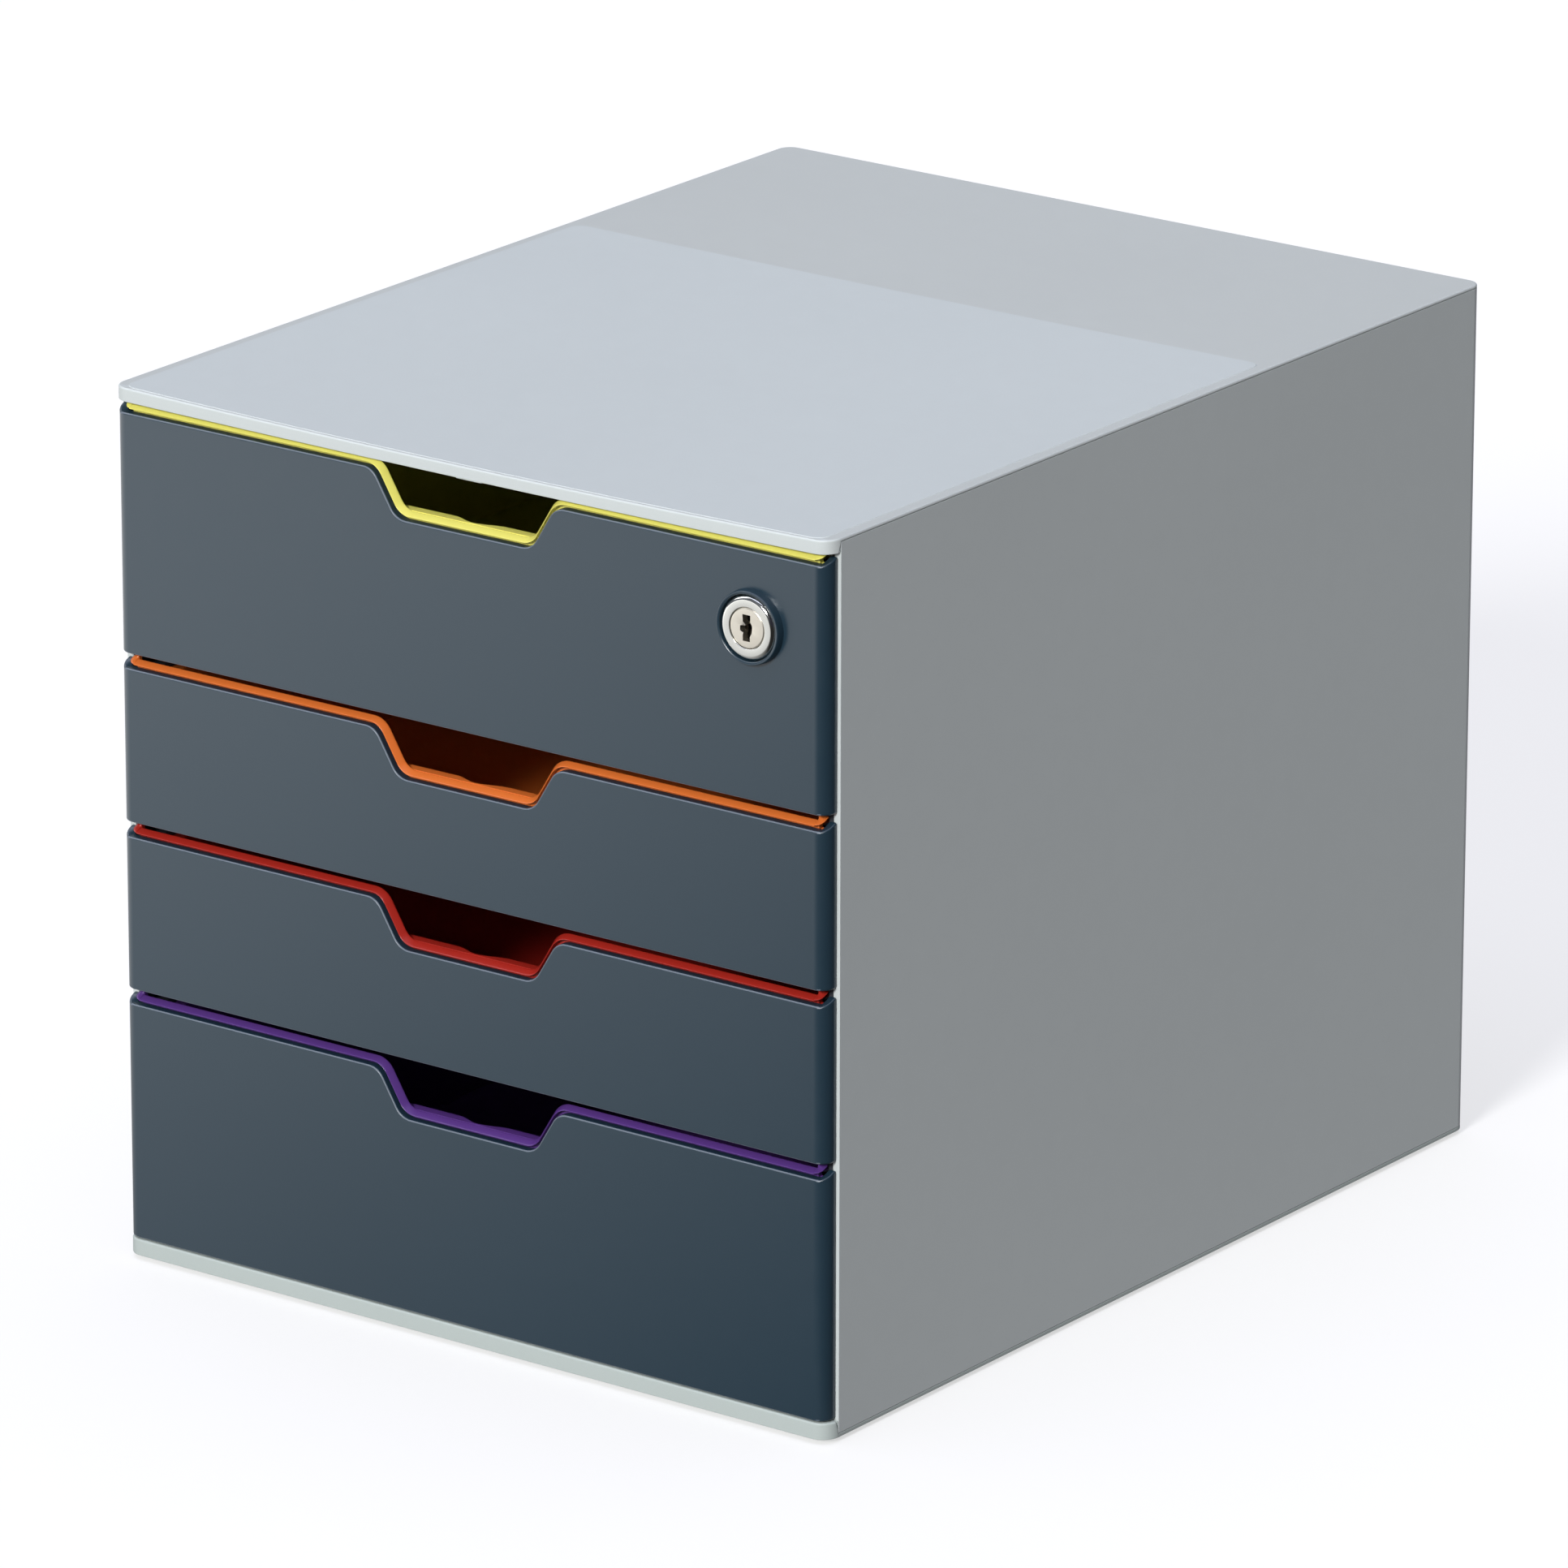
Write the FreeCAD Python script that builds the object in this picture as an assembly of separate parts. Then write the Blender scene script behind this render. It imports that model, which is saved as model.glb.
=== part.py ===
import FreeCAD, Part
import math
import os

# Desktop file drawer: a casing with four sliding drawers and a cam lock in the top one.
# Lengths are in millimetres. X runs across, Y runs from front to rear, Z runs up.
# The origin is under the middle of the whole object, on the surface it stands on.

# Casing
case_width = 280.0
case_depth = 356.0
case_height = 290.5
front_corner_radius = 6.0
rear_corner_radius = 5.0
seam_gap = 0.1

# Top cover
cover_skin = 1.6
cover_edge_height = 1.3
cover_lip_height = 4.8
cover_lip_depth = 5.8
cover_edge_round = 0.7
field_rise = 0.2
field_border = 3.9
field_front_inset = 1.2
field_length = 234.0
field_corner_radius = 4.5
cover_rib_width = 1.5
cover_rib_drop = 2.0
cover_rib_end_inset = 12.0

# Base plate
base_skin = 2.5
base_edge_height = 1.3
base_lip_height = 5.6
base_lip_depth = 5.8
base_edge_round = 0.7

# Side panels and rear panel
side_wall = 2.5
side_front_setback = 6.0
side_rear_return = 12.0
rear_wall = 2.4
rear_tongue_wall = 1.5
rear_tongue_reach = 4.0

# Runner frames, one on each side
runner_wall = 2.0
runner_front_gap = 0.4
rail_reach = 5.9
rail_height = 2.0
rail_front_inset = 2.0
guide_reach = 4.5
guide_height = 1.6
runner_play = 0.3
rail_end_gap = 3.0
runner_stop_length = 5.5
runner_stop_reach = 1.5
rear_stop_gap = 0.4
rear_stop_length = 2.5
runner_boss_radius = 2.9
runner_boss_height = 12.0

# Feet
foot_drop = 1.5
foot_recess = 1.0
foot_radius = 7.0
foot_side_inset = 28.0
foot_end_inset = 26.0

# Screws through the base plate into the runner frames
screw_shank_radius = 1.4
screw_length = 10.0
screw_head_radius = 2.7
screw_head_height = 1.3
screw_head_sink = 0.2
screw_head_gap = 0.1
screw_drive_radius = 1.1
screw_drive_depth = 0.8
screw_end_inset = 40.0
screw_side_inset = 7.0

# Drawer stack, counted from the top in height units
drawer_units = (3, 2, 2, 3)
drawer_gap = 5.0
base_gap = 0.5
cover_gap = 3.6

# Drawer fronts
front_side_inset = 1.1
front_wall = 2.2
front_return_depth = 5.5
front_plan_radius = 4.5
front_floor_wall = 1.6
front_edge_round = 0.7
cutout_top_half = 35.6
cutout_bottom_half = 26.4
cutout_depth = 15.0
cutout_round = 5.0

# Hooks behind the drawer fronts
hook_width = 8.0
hook_height = 1.6
hook_barb_height = 1.0
hook_barb_length = 1.2
hook_rise = 14.0
hook_cutout_gap = 26.4
hook_end_inset = 16.9
hook_gap = 0.2

# Coloured rim along the top of each tray front
rim_setback = 1.2
rim_lift = 0.85
rim_nose_rise = 1.15
rim_shoulder_depth = 0.6
rim_shoulder_rise = 1.6
rim_rise = 2.45
rim_side_gap = 0.2
rim_plan_radius = 2.6
rim_return_wall = 1.6

# Grip rib behind the ledge of the finger cut-out
grip_rise = 4.0
grip_thickness = 1.6
grip_overlap = 6.0
grip_half_width = 27.5
grip_end_radius = 1.5

# Trays
tray_front_gap = 0.1
tray_front_wall = 1.6
tray_wall = 1.8
tray_floor = 1.8
tray_floor_lift = 0.4
tray_side_drop = 3.0
tray_rear_gap = 4.9
tray_rear_radius = 6.0
tray_bottom_round = 2.0
flange_height = 2.0
flange_reach = 6.2
flange_side_gap = 0.2
flange_notch = 1.6
flange_heel_length = 14.0
flange_front_gap = 0.2
drawer_travel = 270.5

# Lock position on the top drawer front
lock_side_inset = 29.0
lock_below_top = 32.0

# Moulded ring around the lock
ring_base_radius = 12.2
ring_face_radius = 11.5
ring_reach = 2.75
ring_face_round = 0.5
ring_bore_radius = 10.1

# Lock housing, plug and nut
housing_flange_radius = 9.7
housing_flange_sink = 0.1
housing_flange_round = 0.4
housing_body_radius = 8.0
housing_flat_half = 7.2
housing_length = 18.0
housing_hole_gap = 0.1
plug_radius = 6.4
plug_gap = 0.05
plug_sink = 0.2
plug_edge_round = 0.3
keyway_height = 8.3
keyway_width = 1.6
keyway_notch_height = 2.0
keyway_notch_width = 0.8
keyway_depth = 15.0
nut_sides = 6
nut_across_flats = 20.0
nut_thickness = 3.0

# Wafers inside the plug
wafer_count = 5
wafer_height = 11.2
wafer_width = 5.0
wafer_thickness = 0.8
wafer_pitch = 2.3
wafer_first_depth = 2.4
wafer_slot_gap = 0.05
wafer_window_height = 8.6
wafer_window_width = 2.4

# Lock cam and its screw
cam_reach = 26.5
cam_half_width = 4.5
cam_hub_radius = 7.2
cam_thickness = 2.0
cam_gap = 0.1
cam_square = 7.0
cam_square_gap = 0.05
cam_screw_shank_radius = 1.9
cam_screw_length = 6.0
cam_screw_head_radius = 3.8
cam_screw_head_height = 2.2
cam_screw_drive_width = 0.9
cam_screw_drive_depth = 1.0

# Lock strike under the cover and lock compartment in the top tray
strike_gap = 0.2
strike_wall = 1.5
strike_drop = 7.2
strike_half_width = 10.0
strike_corner_radius = 2.0
lock_box_wall = 1.6
lock_box_half_width = 32.0
lock_box_rear_gap = 3.0

# Extra length by which cutting shapes run past what they cut
overrun = 1.0

half_share = 0.5
whole_turn = 360.0

# Planes that several pieces share
half_width = case_width * half_share
case_front = ring_reach - (case_depth + ring_reach) * half_share
case_rear = case_front + case_depth
case_bottom = foot_drop
case_top = case_bottom + case_height
side_inner = half_width - side_wall
runner_outer = side_inner - seam_gap
runner_inner = runner_outer - runner_wall
cover_underside = case_top - field_rise - cover_skin
base_floor_top = case_bottom + base_skin
rear_panel_inner = case_rear - side_wall - seam_gap - rear_tongue_wall
tray_half_width = runner_inner - flange_side_gap - flange_reach
stack_height = case_height - base_lip_height - base_gap - cover_lip_height - cover_gap + drawer_gap
unit_height = stack_height / sum(drawer_units)
front_half_width = half_width - front_side_inset
rim_half_width = front_half_width - front_wall - rim_side_gap
lock_x = half_width - lock_side_inset
lock_z = case_top - lock_below_top
hook_inner_x = cutout_top_half + hook_cutout_gap
hook_outer_x = front_half_width - hook_end_inset
cutout_slope = math.atan2(cutout_depth, cutout_top_half - cutout_bottom_half)


def at_depth(depth):
    # Y of a plane that lies this far behind the casing front
    return case_front + depth


tray_front_face = front_wall + tray_front_gap
tray_front_inner = tray_front_face + tray_front_wall
tray_rear = rear_panel_inner - tray_rear_gap
runner_front = at_depth(side_front_setback + runner_front_gap)
runner_rear = case_rear - rear_corner_radius
cam_front = at_depth(housing_length + cam_gap)
heel_front = tray_rear - flange_heel_length
runner_stop_rear = heel_front - drawer_travel


def drawer_span(index):
    # bottom and top of one drawer front
    units_below = sum(drawer_units[index + 1:])
    low = case_bottom + base_lip_height + base_gap + units_below * unit_height
    high = low + drawer_units[index] * unit_height - drawer_gap
    return low, high


def block(x_span, y_span, z_span):
    corner = FreeCAD.Vector(x_span[0], y_span[0], z_span[0])
    sizes = [span[1] - span[0] for span in (x_span, y_span, z_span)]
    return Part.makeBox(sizes[0], sizes[1], sizes[2], corner)


def rod(axis_x, axis_z, radius, y_span):
    # round bar that lies along Y
    start = FreeCAD.Vector(axis_x, y_span[0], axis_z)
    along = FreeCAD.Vector(0, 1, 0)
    return Part.makeCylinder(radius, y_span[1] - y_span[0], start, along)


def post(centre_x, centre_y, radius, z_span):
    # round bar that stands upright
    start = FreeCAD.Vector(centre_x, centre_y, z_span[0])
    return Part.makeCylinder(radius, z_span[1] - z_span[0], start)


def mirrored(shape):
    return shape.mirror(FreeCAD.Vector(0, 0, 0), FreeCAD.Vector(1, 0, 0))


def fused(shapes):
    whole = shapes[0].multiFuse(shapes[1:]).removeSplitter()
    return whole.Solids[0]


def rounded(shape, radius, wanted):
    chosen = [edge for edge in shape.Edges if wanted(edge)]
    return shape.makeFillet(radius, chosen)


def is_upright(edge):
    first = edge.Vertexes[0].Point
    last = edge.Vertexes[-1].Point
    level = math.hypot(first.x - last.x, first.y - last.y)
    return level < seam_gap and abs(first.z - last.z) > seam_gap


def plan_plate(x_half, y_span, z_span, front_radius, rear_radius):
    # upright slab with rounded corners in plan
    plate = block((-x_half, x_half), y_span, z_span)
    middle = sum(y_span) * half_share

    def in_front(edge):
        return is_upright(edge) and edge.Vertexes[0].Point.y < middle

    def behind(edge):
        return is_upright(edge) and edge.Vertexes[0].Point.y > middle

    if front_radius:
        plate = rounded(plate, front_radius, in_front)
    if rear_radius:
        plate = rounded(plate, rear_radius, behind)
    return plate


def level_edge_at(height):
    def wanted(edge):
        return all(abs(vertex.Point.z - height) < seam_gap for vertex in edge.Vertexes)
    return wanted


def arc_corner(corner, before, after, radius):
    # start, middle and end of the arc that rounds one corner of an outline
    turn = math.acos(max(-1, min(1, before.dot(after))))
    reach = radius * math.tan(turn * half_share)
    start = corner - before * reach
    end = corner + after * reach
    inward = (after - before).normalize()
    centre = corner + inward * (radius / math.cos(turn * half_share))
    return start, centre - inward * radius, end


def front_outline(x_half, low, high, offset, depth):
    # upright outline with the finger cut-out, moved outward by the offset
    y = at_depth(depth)
    shift = offset * math.tan(cutout_slope * half_share)
    top = high + offset
    ledge = top - cutout_depth
    top_x = cutout_top_half - shift
    ledge_x = cutout_bottom_half - shift
    level = FreeCAD.Vector(1, 0, 0)
    falling = FreeCAD.Vector(math.cos(cutout_slope), 0, -math.sin(cutout_slope))
    rising = FreeCAD.Vector(math.cos(cutout_slope), 0, math.sin(cutout_slope))
    outer_round = cutout_round + offset
    inner_round = cutout_round - offset
    corners = [
        arc_corner(FreeCAD.Vector(-top_x, y, top), level, falling, outer_round),
        arc_corner(FreeCAD.Vector(-ledge_x, y, ledge), falling, level, inner_round),
        arc_corner(FreeCAD.Vector(ledge_x, y, ledge), level, rising, inner_round),
        arc_corner(FreeCAD.Vector(top_x, y, top), rising, level, outer_round),
    ]
    edges = []
    last = FreeCAD.Vector(-x_half, y, top)
    for start, middle, end in corners:
        edges.append(Part.makeLine(last, start))
        edges.append(Part.Arc(start, middle, end).toShape())
        last = end
    for point in ((x_half, top), (x_half, low), (-x_half, low), (-x_half, top)):
        following = FreeCAD.Vector(point[0], y, point[1])
        edges.append(Part.makeLine(last, following))
        last = following
    return Part.Wire(edges)


def front_prism(x_half, low, high, offset, depth_span):
    face = Part.Face(front_outline(x_half, low, high, offset, depth_span[0]))
    return face.extrude(FreeCAD.Vector(0, depth_span[1] - depth_span[0], 0))


def border_rebate(front, z_span):
    # strip along both sides and the rear in which the side and rear panels end
    x_span = (-half_width - overrun, half_width + overrun)
    strip = block(x_span, (front, case_rear + overrun), z_span)
    kept_y = (front - overrun, case_rear - side_wall - seam_gap)
    kept_z = (z_span[0] - overrun, z_span[1] + overrun)
    return strip.cut(plan_plate(runner_outer, kept_y, kept_z, 0, rear_corner_radius - side_wall))


def make_top_cover():
    y_span = (case_front, case_rear)
    lip_bottom = case_top - cover_lip_height
    plate_top = case_top - field_rise
    plate = plan_plate(half_width, y_span, (lip_bottom, plate_top), front_corner_radius, rear_corner_radius)
    plate = rounded(plate, cover_edge_round, level_edge_at(plate_top))
    behind_lip = (at_depth(cover_lip_depth), case_rear + overrun)
    wide = (-half_width - overrun, half_width + overrun)
    plate = plate.cut(block(wide, behind_lip, (lip_bottom - overrun, cover_underside)))
    plate = plate.cut(border_rebate(behind_lip[0], (lip_bottom - overrun, case_top - cover_edge_height)))
    field_low = at_depth(field_front_inset)
    field_span = (field_low, field_low + field_length)
    field = plan_plate(half_width - field_border, field_span, (cover_underside, case_top),
                       field_corner_radius, field_corner_radius)
    pieces = [plate, field]
    rib_low = cover_underside - cover_rib_drop
    rib_y = (case_front + cover_rib_end_inset, rear_panel_inner - cover_rib_end_inset)
    for sign in (-1, 1):
        rib_outer = sign * (runner_inner - seam_gap)
        x_span = sorted((rib_outer, rib_outer - sign * cover_rib_width))
        pieces.append(block(x_span, rib_y, (rib_low, plate_top - cover_edge_round)))
    return fused(pieces)


def make_lock_strike():
    # plate that hangs from the cover in front of the raised cam
    rear = cam_front - strike_gap
    x_span = (lock_x - strike_half_width, lock_x + strike_half_width)
    low = cover_underside - strike_drop
    plate = block(x_span, (rear - strike_wall, rear), (low, cover_underside))

    def at_lower_end(edge):
        points = [vertex.Point for vertex in edge.Vertexes]
        at_bottom = all(abs(point.z - low) < seam_gap for point in points)
        return at_bottom and abs(points[0].x - points[-1].x) < seam_gap

    return rounded(plate, strike_corner_radius, at_lower_end).Solids[0]


def make_base_plate():
    y_span = (case_front, case_rear)
    lip_top = case_bottom + base_lip_height
    plate = plan_plate(half_width, y_span, (case_bottom, lip_top), front_corner_radius, rear_corner_radius)
    plate = rounded(plate, base_edge_round, level_edge_at(lip_top))
    behind_lip = (at_depth(base_lip_depth), case_rear + overrun)
    wide = (-half_width - overrun, half_width + overrun)
    plate = plate.cut(block(wide, behind_lip, (base_floor_top, lip_top + overrun)))
    plate = plate.cut(border_rebate(behind_lip[0], (case_bottom + base_edge_height, lip_top + overrun)))
    recess_top = case_bottom + foot_recess
    for centre_x, centre_y in foot_centres():
        plate = plate.cut(post(centre_x, centre_y, foot_radius + seam_gap, (case_bottom - overrun, recess_top)))
    for centre_x, centre_y in screw_centres():
        plate = plate.cut(post(centre_x, centre_y, screw_shank_radius + screw_head_gap,
                               (case_bottom, base_floor_top + overrun)))
        sink_top = case_bottom + screw_head_sink + screw_head_height
        plate = plate.cut(post(centre_x, centre_y, screw_head_radius + screw_head_gap,
                               (case_bottom - overrun, sink_top)))
    return plate.Solids[0]


def foot_centres():
    x = half_width - foot_side_inset
    return [(-x, case_front + foot_end_inset), (x, case_front + foot_end_inset),
            (-x, case_rear - foot_end_inset), (x, case_rear - foot_end_inset)]


def screw_centres():
    x = half_width - screw_side_inset
    return [(-x, case_front + screw_end_inset), (x, case_front + screw_end_inset),
            (-x, case_rear - screw_end_inset), (x, case_rear - screw_end_inset)]


def make_foot(centre):
    return post(centre[0], centre[1], foot_radius, (0, foot_drop + foot_recess))


def make_casing_screws():
    screws = []
    head_bottom = case_bottom + screw_head_sink
    head_top = head_bottom + screw_head_height
    for centre_x, centre_y in screw_centres():
        head = post(centre_x, centre_y, screw_head_radius, (head_bottom, head_top))
        shank = post(centre_x, centre_y, screw_shank_radius, (head_bottom, head_bottom + screw_length))
        drive = post(centre_x, centre_y, screw_drive_radius, (head_bottom - overrun, head_bottom + screw_drive_depth))
        screws.append(head.fuse(shank).removeSplitter().cut(drive).Solids[0])
    return Part.makeCompound(screws)


def make_side_panel(sign):
    z_span = (case_bottom + base_edge_height + seam_gap, case_top - cover_edge_height - seam_gap)
    y_span = (case_front - overrun, case_rear)
    cut_z = (z_span[0] - overrun, z_span[1] + overrun)
    shell = plan_plate(half_width, y_span, z_span, 0, rear_corner_radius)
    inner_radius = rear_corner_radius - side_wall
    hollow = plan_plate(side_inner, (y_span[0] - overrun, case_rear - side_wall), cut_z, 0, inner_radius)
    shell = shell.cut(hollow)
    return_x = sorted((sign * (half_width - side_rear_return), sign * (half_width + overrun)))
    kept = block(return_x, (at_depth(side_front_setback), case_rear + overrun), cut_z)
    return shell.common(kept).Solids[0]


def make_rear_panel():
    z_span = (case_bottom + base_edge_height + seam_gap, case_top - cover_edge_height - seam_gap)
    panel_half = half_width - side_rear_return - seam_gap
    inner_face = case_rear - side_wall - seam_gap
    panel = block((-panel_half, panel_half), (inner_face, inner_face + rear_wall), z_span)
    tongue_half = panel_half + rear_tongue_reach
    tongue_z = (base_floor_top + seam_gap, cover_underside - seam_gap)
    tongue = block((-tongue_half, tongue_half), (rear_panel_inner, inner_face), tongue_z)
    return fused([panel, tongue])


def channel_heights(index):
    # underside and top of the tray flange, which runs in the channel
    high = drawer_span(index)[1]
    flange_top = high - tray_side_drop
    return flange_top - flange_height, flange_top


def make_runner_frame(sign):
    z_span = (base_floor_top + seam_gap, cover_underside - seam_gap)
    frame = block(sorted((runner_inner, runner_outer)), (runner_front, runner_rear), z_span)
    pieces = [frame]
    rail_y = (runner_front + rail_front_inset, runner_rear - rail_end_gap)
    for index in range(len(drawer_units)):
        flange_low, flange_top = channel_heights(index)
        rail_top = flange_low - runner_play
        guide_low = flange_top + runner_play
        rail_x = (runner_inner - rail_reach, runner_inner)
        guide_x = (runner_inner - guide_reach, runner_inner)
        pieces.append(block(rail_x, rail_y, (rail_top - rail_height, rail_top)))
        pieces.append(block(guide_x, rail_y, (guide_low, guide_low + guide_height)))
        stop_x = (runner_inner - runner_stop_reach, runner_inner)
        stop_y = (runner_stop_rear - runner_stop_length, runner_stop_rear)
        pieces.append(block(stop_x, stop_y, (rail_top, guide_low)))
        end_y = (tray_rear + rear_stop_gap, tray_rear + rear_stop_gap + rear_stop_length)
        pieces.append(block(guide_x, end_y, (rail_top, guide_low)))
    for centre_x, centre_y in screw_centres():
        if centre_x > 0:
            boss_z = (z_span[0], z_span[0] + runner_boss_height)
            pieces.append(post(centre_x, centre_y, runner_boss_radius, boss_z))
    frame = fused(pieces)
    for centre_x, centre_y in screw_centres():
        if centre_x > 0:
            hole_z = (z_span[0] - overrun, case_bottom + screw_head_sink + screw_length + overrun)
            frame = frame.cut(post(centre_x, centre_y, screw_shank_radius, hole_z))
    if sign < 0:
        frame = mirrored(frame)
    return frame.Solids[0]


def hook_centres(low):
    z = low + hook_rise
    return [(x, z) for x in (-hook_outer_x, -hook_inner_x, hook_inner_x, hook_outer_x)]


def make_front_hooks(low):
    hooks = []
    half = hook_width * half_share
    barb_front = at_depth(tray_front_inner + hook_gap)
    barb_rear = barb_front + hook_barb_length
    for x, z in hook_centres(low):
        x_span = (x - half, x + half)
        hooks.append(block(x_span, (at_depth(front_wall) - seam_gap, barb_rear), (z, z + hook_height)))
        hooks.append(block(x_span, (barb_front, barb_rear), (z, z + hook_height + hook_barb_height)))
    return hooks


def make_drawer_front(index):
    low, high = drawer_span(index)
    outer_y = (case_front, at_depth(front_return_depth))
    outer = plan_plate(front_half_width, outer_y, (low, high), front_plan_radius, 0)
    hollow_radius = front_plan_radius - front_wall
    hollow_y = (at_depth(front_wall), at_depth(front_return_depth) + overrun)
    hollow_z = (low + front_floor_wall, high + overrun)
    hollow = plan_plate(front_half_width - front_wall, hollow_y, hollow_z, hollow_radius, 0)
    prism = front_prism(half_width, low - overrun, high, 0, (-overrun, front_return_depth + overrun))
    shell = outer.common(prism)
    front_y = case_front + front_edge_round * half_share

    def on_outer_edge(edge):
        middle = edge.valueAt((edge.FirstParameter + edge.LastParameter) * half_share)
        at_front = middle.y < front_y and not is_upright(edge)
        across = abs(middle.x) > half_width - front_side_inset - front_plan_radius
        at_end = min(abs(middle.z - low), abs(middle.z - high)) < seam_gap
        at_rear = abs(middle.y - outer_y[1]) < seam_gap
        return at_front or (across and at_end and not at_rear and not is_upright(edge))

    shell = rounded(shell, front_edge_round, on_outer_edge)
    shell = shell.cut(hollow)
    shell = fused([shell] + make_front_hooks(low))
    if index == 0:
        shell = with_lock_ring(shell)
    return shell


def with_lock_ring(shell):
    toward = FreeCAD.Vector(0, -1, 0)
    start = FreeCAD.Vector(lock_x, case_front, lock_z)
    ring = Part.makeCone(ring_base_radius, ring_face_radius, ring_reach, start, toward)
    face_y = case_front - ring_reach

    def on_face(edge):
        return all(abs(vertex.Point.y - face_y) < seam_gap for vertex in edge.Vertexes)

    ring = rounded(ring, ring_face_round, on_face)
    root = rod(lock_x, lock_z, ring_base_radius, (case_front, at_depth(front_wall)))
    shell = fused([shell, ring, root])
    shell = shell.cut(rod(lock_x, lock_z, ring_bore_radius, (face_y - overrun, case_front)))
    hole_radius = housing_body_radius + housing_hole_gap
    hole = rod(lock_x, lock_z, hole_radius, (case_front - overrun, at_depth(front_wall) + overrun))
    return shell.cut(hole).Solids[0]


def make_tray_front(low, high):
    # upright coloured wall whose top edge follows the finger cut-out
    bottom = low + front_floor_wall + tray_floor_lift
    nose = front_outline(rim_half_width, bottom, high, rim_nose_rise, rim_setback)
    shoulder = front_outline(rim_half_width, bottom, high, rim_shoulder_rise, rim_setback + rim_shoulder_depth)
    back = front_outline(rim_half_width, bottom, high, rim_rise, tray_front_inner)
    wall = Part.makeLoft([nose, shoulder, back], True, True)
    under_rim = front_prism(half_width, bottom - overrun, high, rim_lift, (0, tray_front_face))
    wall = wall.cut(under_rim)
    return_y = (at_depth(tray_front_face), at_depth(front_return_depth) - seam_gap)
    sides = []
    for sign in (-1, 1):
        x_span = sorted((sign * rim_half_width, sign * (rim_half_width - rim_return_wall)))
        sides.append(block(x_span, return_y, (bottom, high)))
    wall = wall.fuse(sides)
    corner_z = (bottom - overrun, high + rim_lift)
    corner_y = (at_depth(0), at_depth(front_return_depth))
    below_rim = plan_plate(rim_half_width, (at_depth(tray_front_face), corner_y[1] + overrun),
                           (corner_z[0] - overrun, corner_z[1] + overrun), rim_plan_radius, 0)
    for sign in (-1, 1):
        x_span = sorted((sign * (rim_half_width - rim_plan_radius), sign * (rim_half_width + overrun)))
        wall = wall.cut(block(x_span, corner_y, corner_z).cut(below_rim))
    plan = plan_plate(rim_half_width, (at_depth(rim_setback), return_y[1]), (bottom - overrun, high + rim_rise + overrun),
                      rim_plan_radius, 0)
    return wall.common(plan).Solids[0]


def make_grip_rib(high):
    ledge = high - cutout_depth
    y_span = (at_depth(tray_front_inner) - seam_gap, at_depth(tray_front_inner) + grip_thickness)
    rib = block((-grip_half_width, grip_half_width), y_span, (ledge - grip_overlap, ledge + grip_rise))

    def at_top_end(edge):
        points = [vertex.Point for vertex in edge.Vertexes]
        level = all(abs(point.z - ledge - grip_rise) < seam_gap for point in points)
        return level and abs(points[0].x - points[-1].x) < seam_gap

    return rounded(rib, grip_end_radius, at_top_end)


def make_tray_body(low, high):
    # floor, sides and rear wall; the coloured front wall closes the open front
    bottom = low + front_floor_wall + tray_floor_lift
    side_top = high - tray_side_drop
    y_span = (at_depth(tray_front_face), tray_rear)
    outer = plan_plate(tray_half_width, y_span, (bottom, side_top), 0, tray_rear_radius)
    outer_front = y_span[0]

    def under_edge(edge):
        level = level_edge_at(bottom)(edge)
        points = [vertex.Point for vertex in edge.Vertexes]
        return level and not all(abs(point.y - outer_front) < seam_gap for point in points)

    outer = rounded(outer, tray_bottom_round, under_edge)
    inner_y = (outer_front - overrun, tray_rear - tray_wall)
    inner_z = (bottom + tray_floor, side_top + overrun)
    inner = plan_plate(tray_half_width - tray_wall, inner_y, inner_z, 0, tray_rear_radius - tray_wall)
    return outer.cut(inner)


def make_tray_flange(index, sign):
    flange_low, flange_top = channel_heights(index)
    inner_x = tray_half_width - tray_wall * half_share
    outer_x = tray_half_width + flange_reach
    front = at_depth(side_front_setback + flange_front_gap)
    slim = block(sorted((sign * inner_x, sign * (outer_x - flange_notch))), (front, heel_front), (flange_low, flange_top))
    heel_y = (heel_front, tray_rear - tray_rear_radius * half_share)
    heel = block(sorted((sign * inner_x, sign * outer_x)), heel_y, (flange_low, flange_top))
    return slim.fuse(heel)


def lock_box_walls(low, high):
    # compartment around the rear of the lock, open at the top for the cam
    bottom = low + front_floor_wall + tray_floor_lift + tray_floor * half_share
    top = high - tray_side_drop
    left = lock_x - lock_box_half_width
    rear = cam_front + cam_thickness + cam_screw_head_height + lock_box_rear_gap
    right = tray_half_width - tray_wall * half_share
    side = block((left - lock_box_wall, left), (at_depth(tray_front_face), rear + lock_box_wall), (bottom, top))
    back = block((left - lock_box_wall, right), (rear, rear + lock_box_wall), (bottom, top))
    return [side, back]


def make_tray(index):
    low, high = drawer_span(index)
    pieces = [make_tray_body(low, high), make_tray_front(low, high), make_grip_rib(high)]
    pieces += [make_tray_flange(index, -1), make_tray_flange(index, 1)]
    if index == 0:
        pieces += lock_box_walls(low, high)
    tray = fused(pieces)
    half = hook_width * half_share + hook_gap
    through = (at_depth(tray_front_face) - overrun, at_depth(tray_front_inner) + overrun)
    for x, z in hook_centres(low):
        window_z = (z - hook_gap, z + hook_height + hook_barb_height + hook_gap)
        tray = tray.cut(block((x - half, x + half), through, window_z))
    if index == 0:
        hole_radius = housing_body_radius + housing_hole_gap
        tray = tray.cut(rod(lock_x, lock_z, hole_radius, through))
    return tray.Solids[0]


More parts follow.
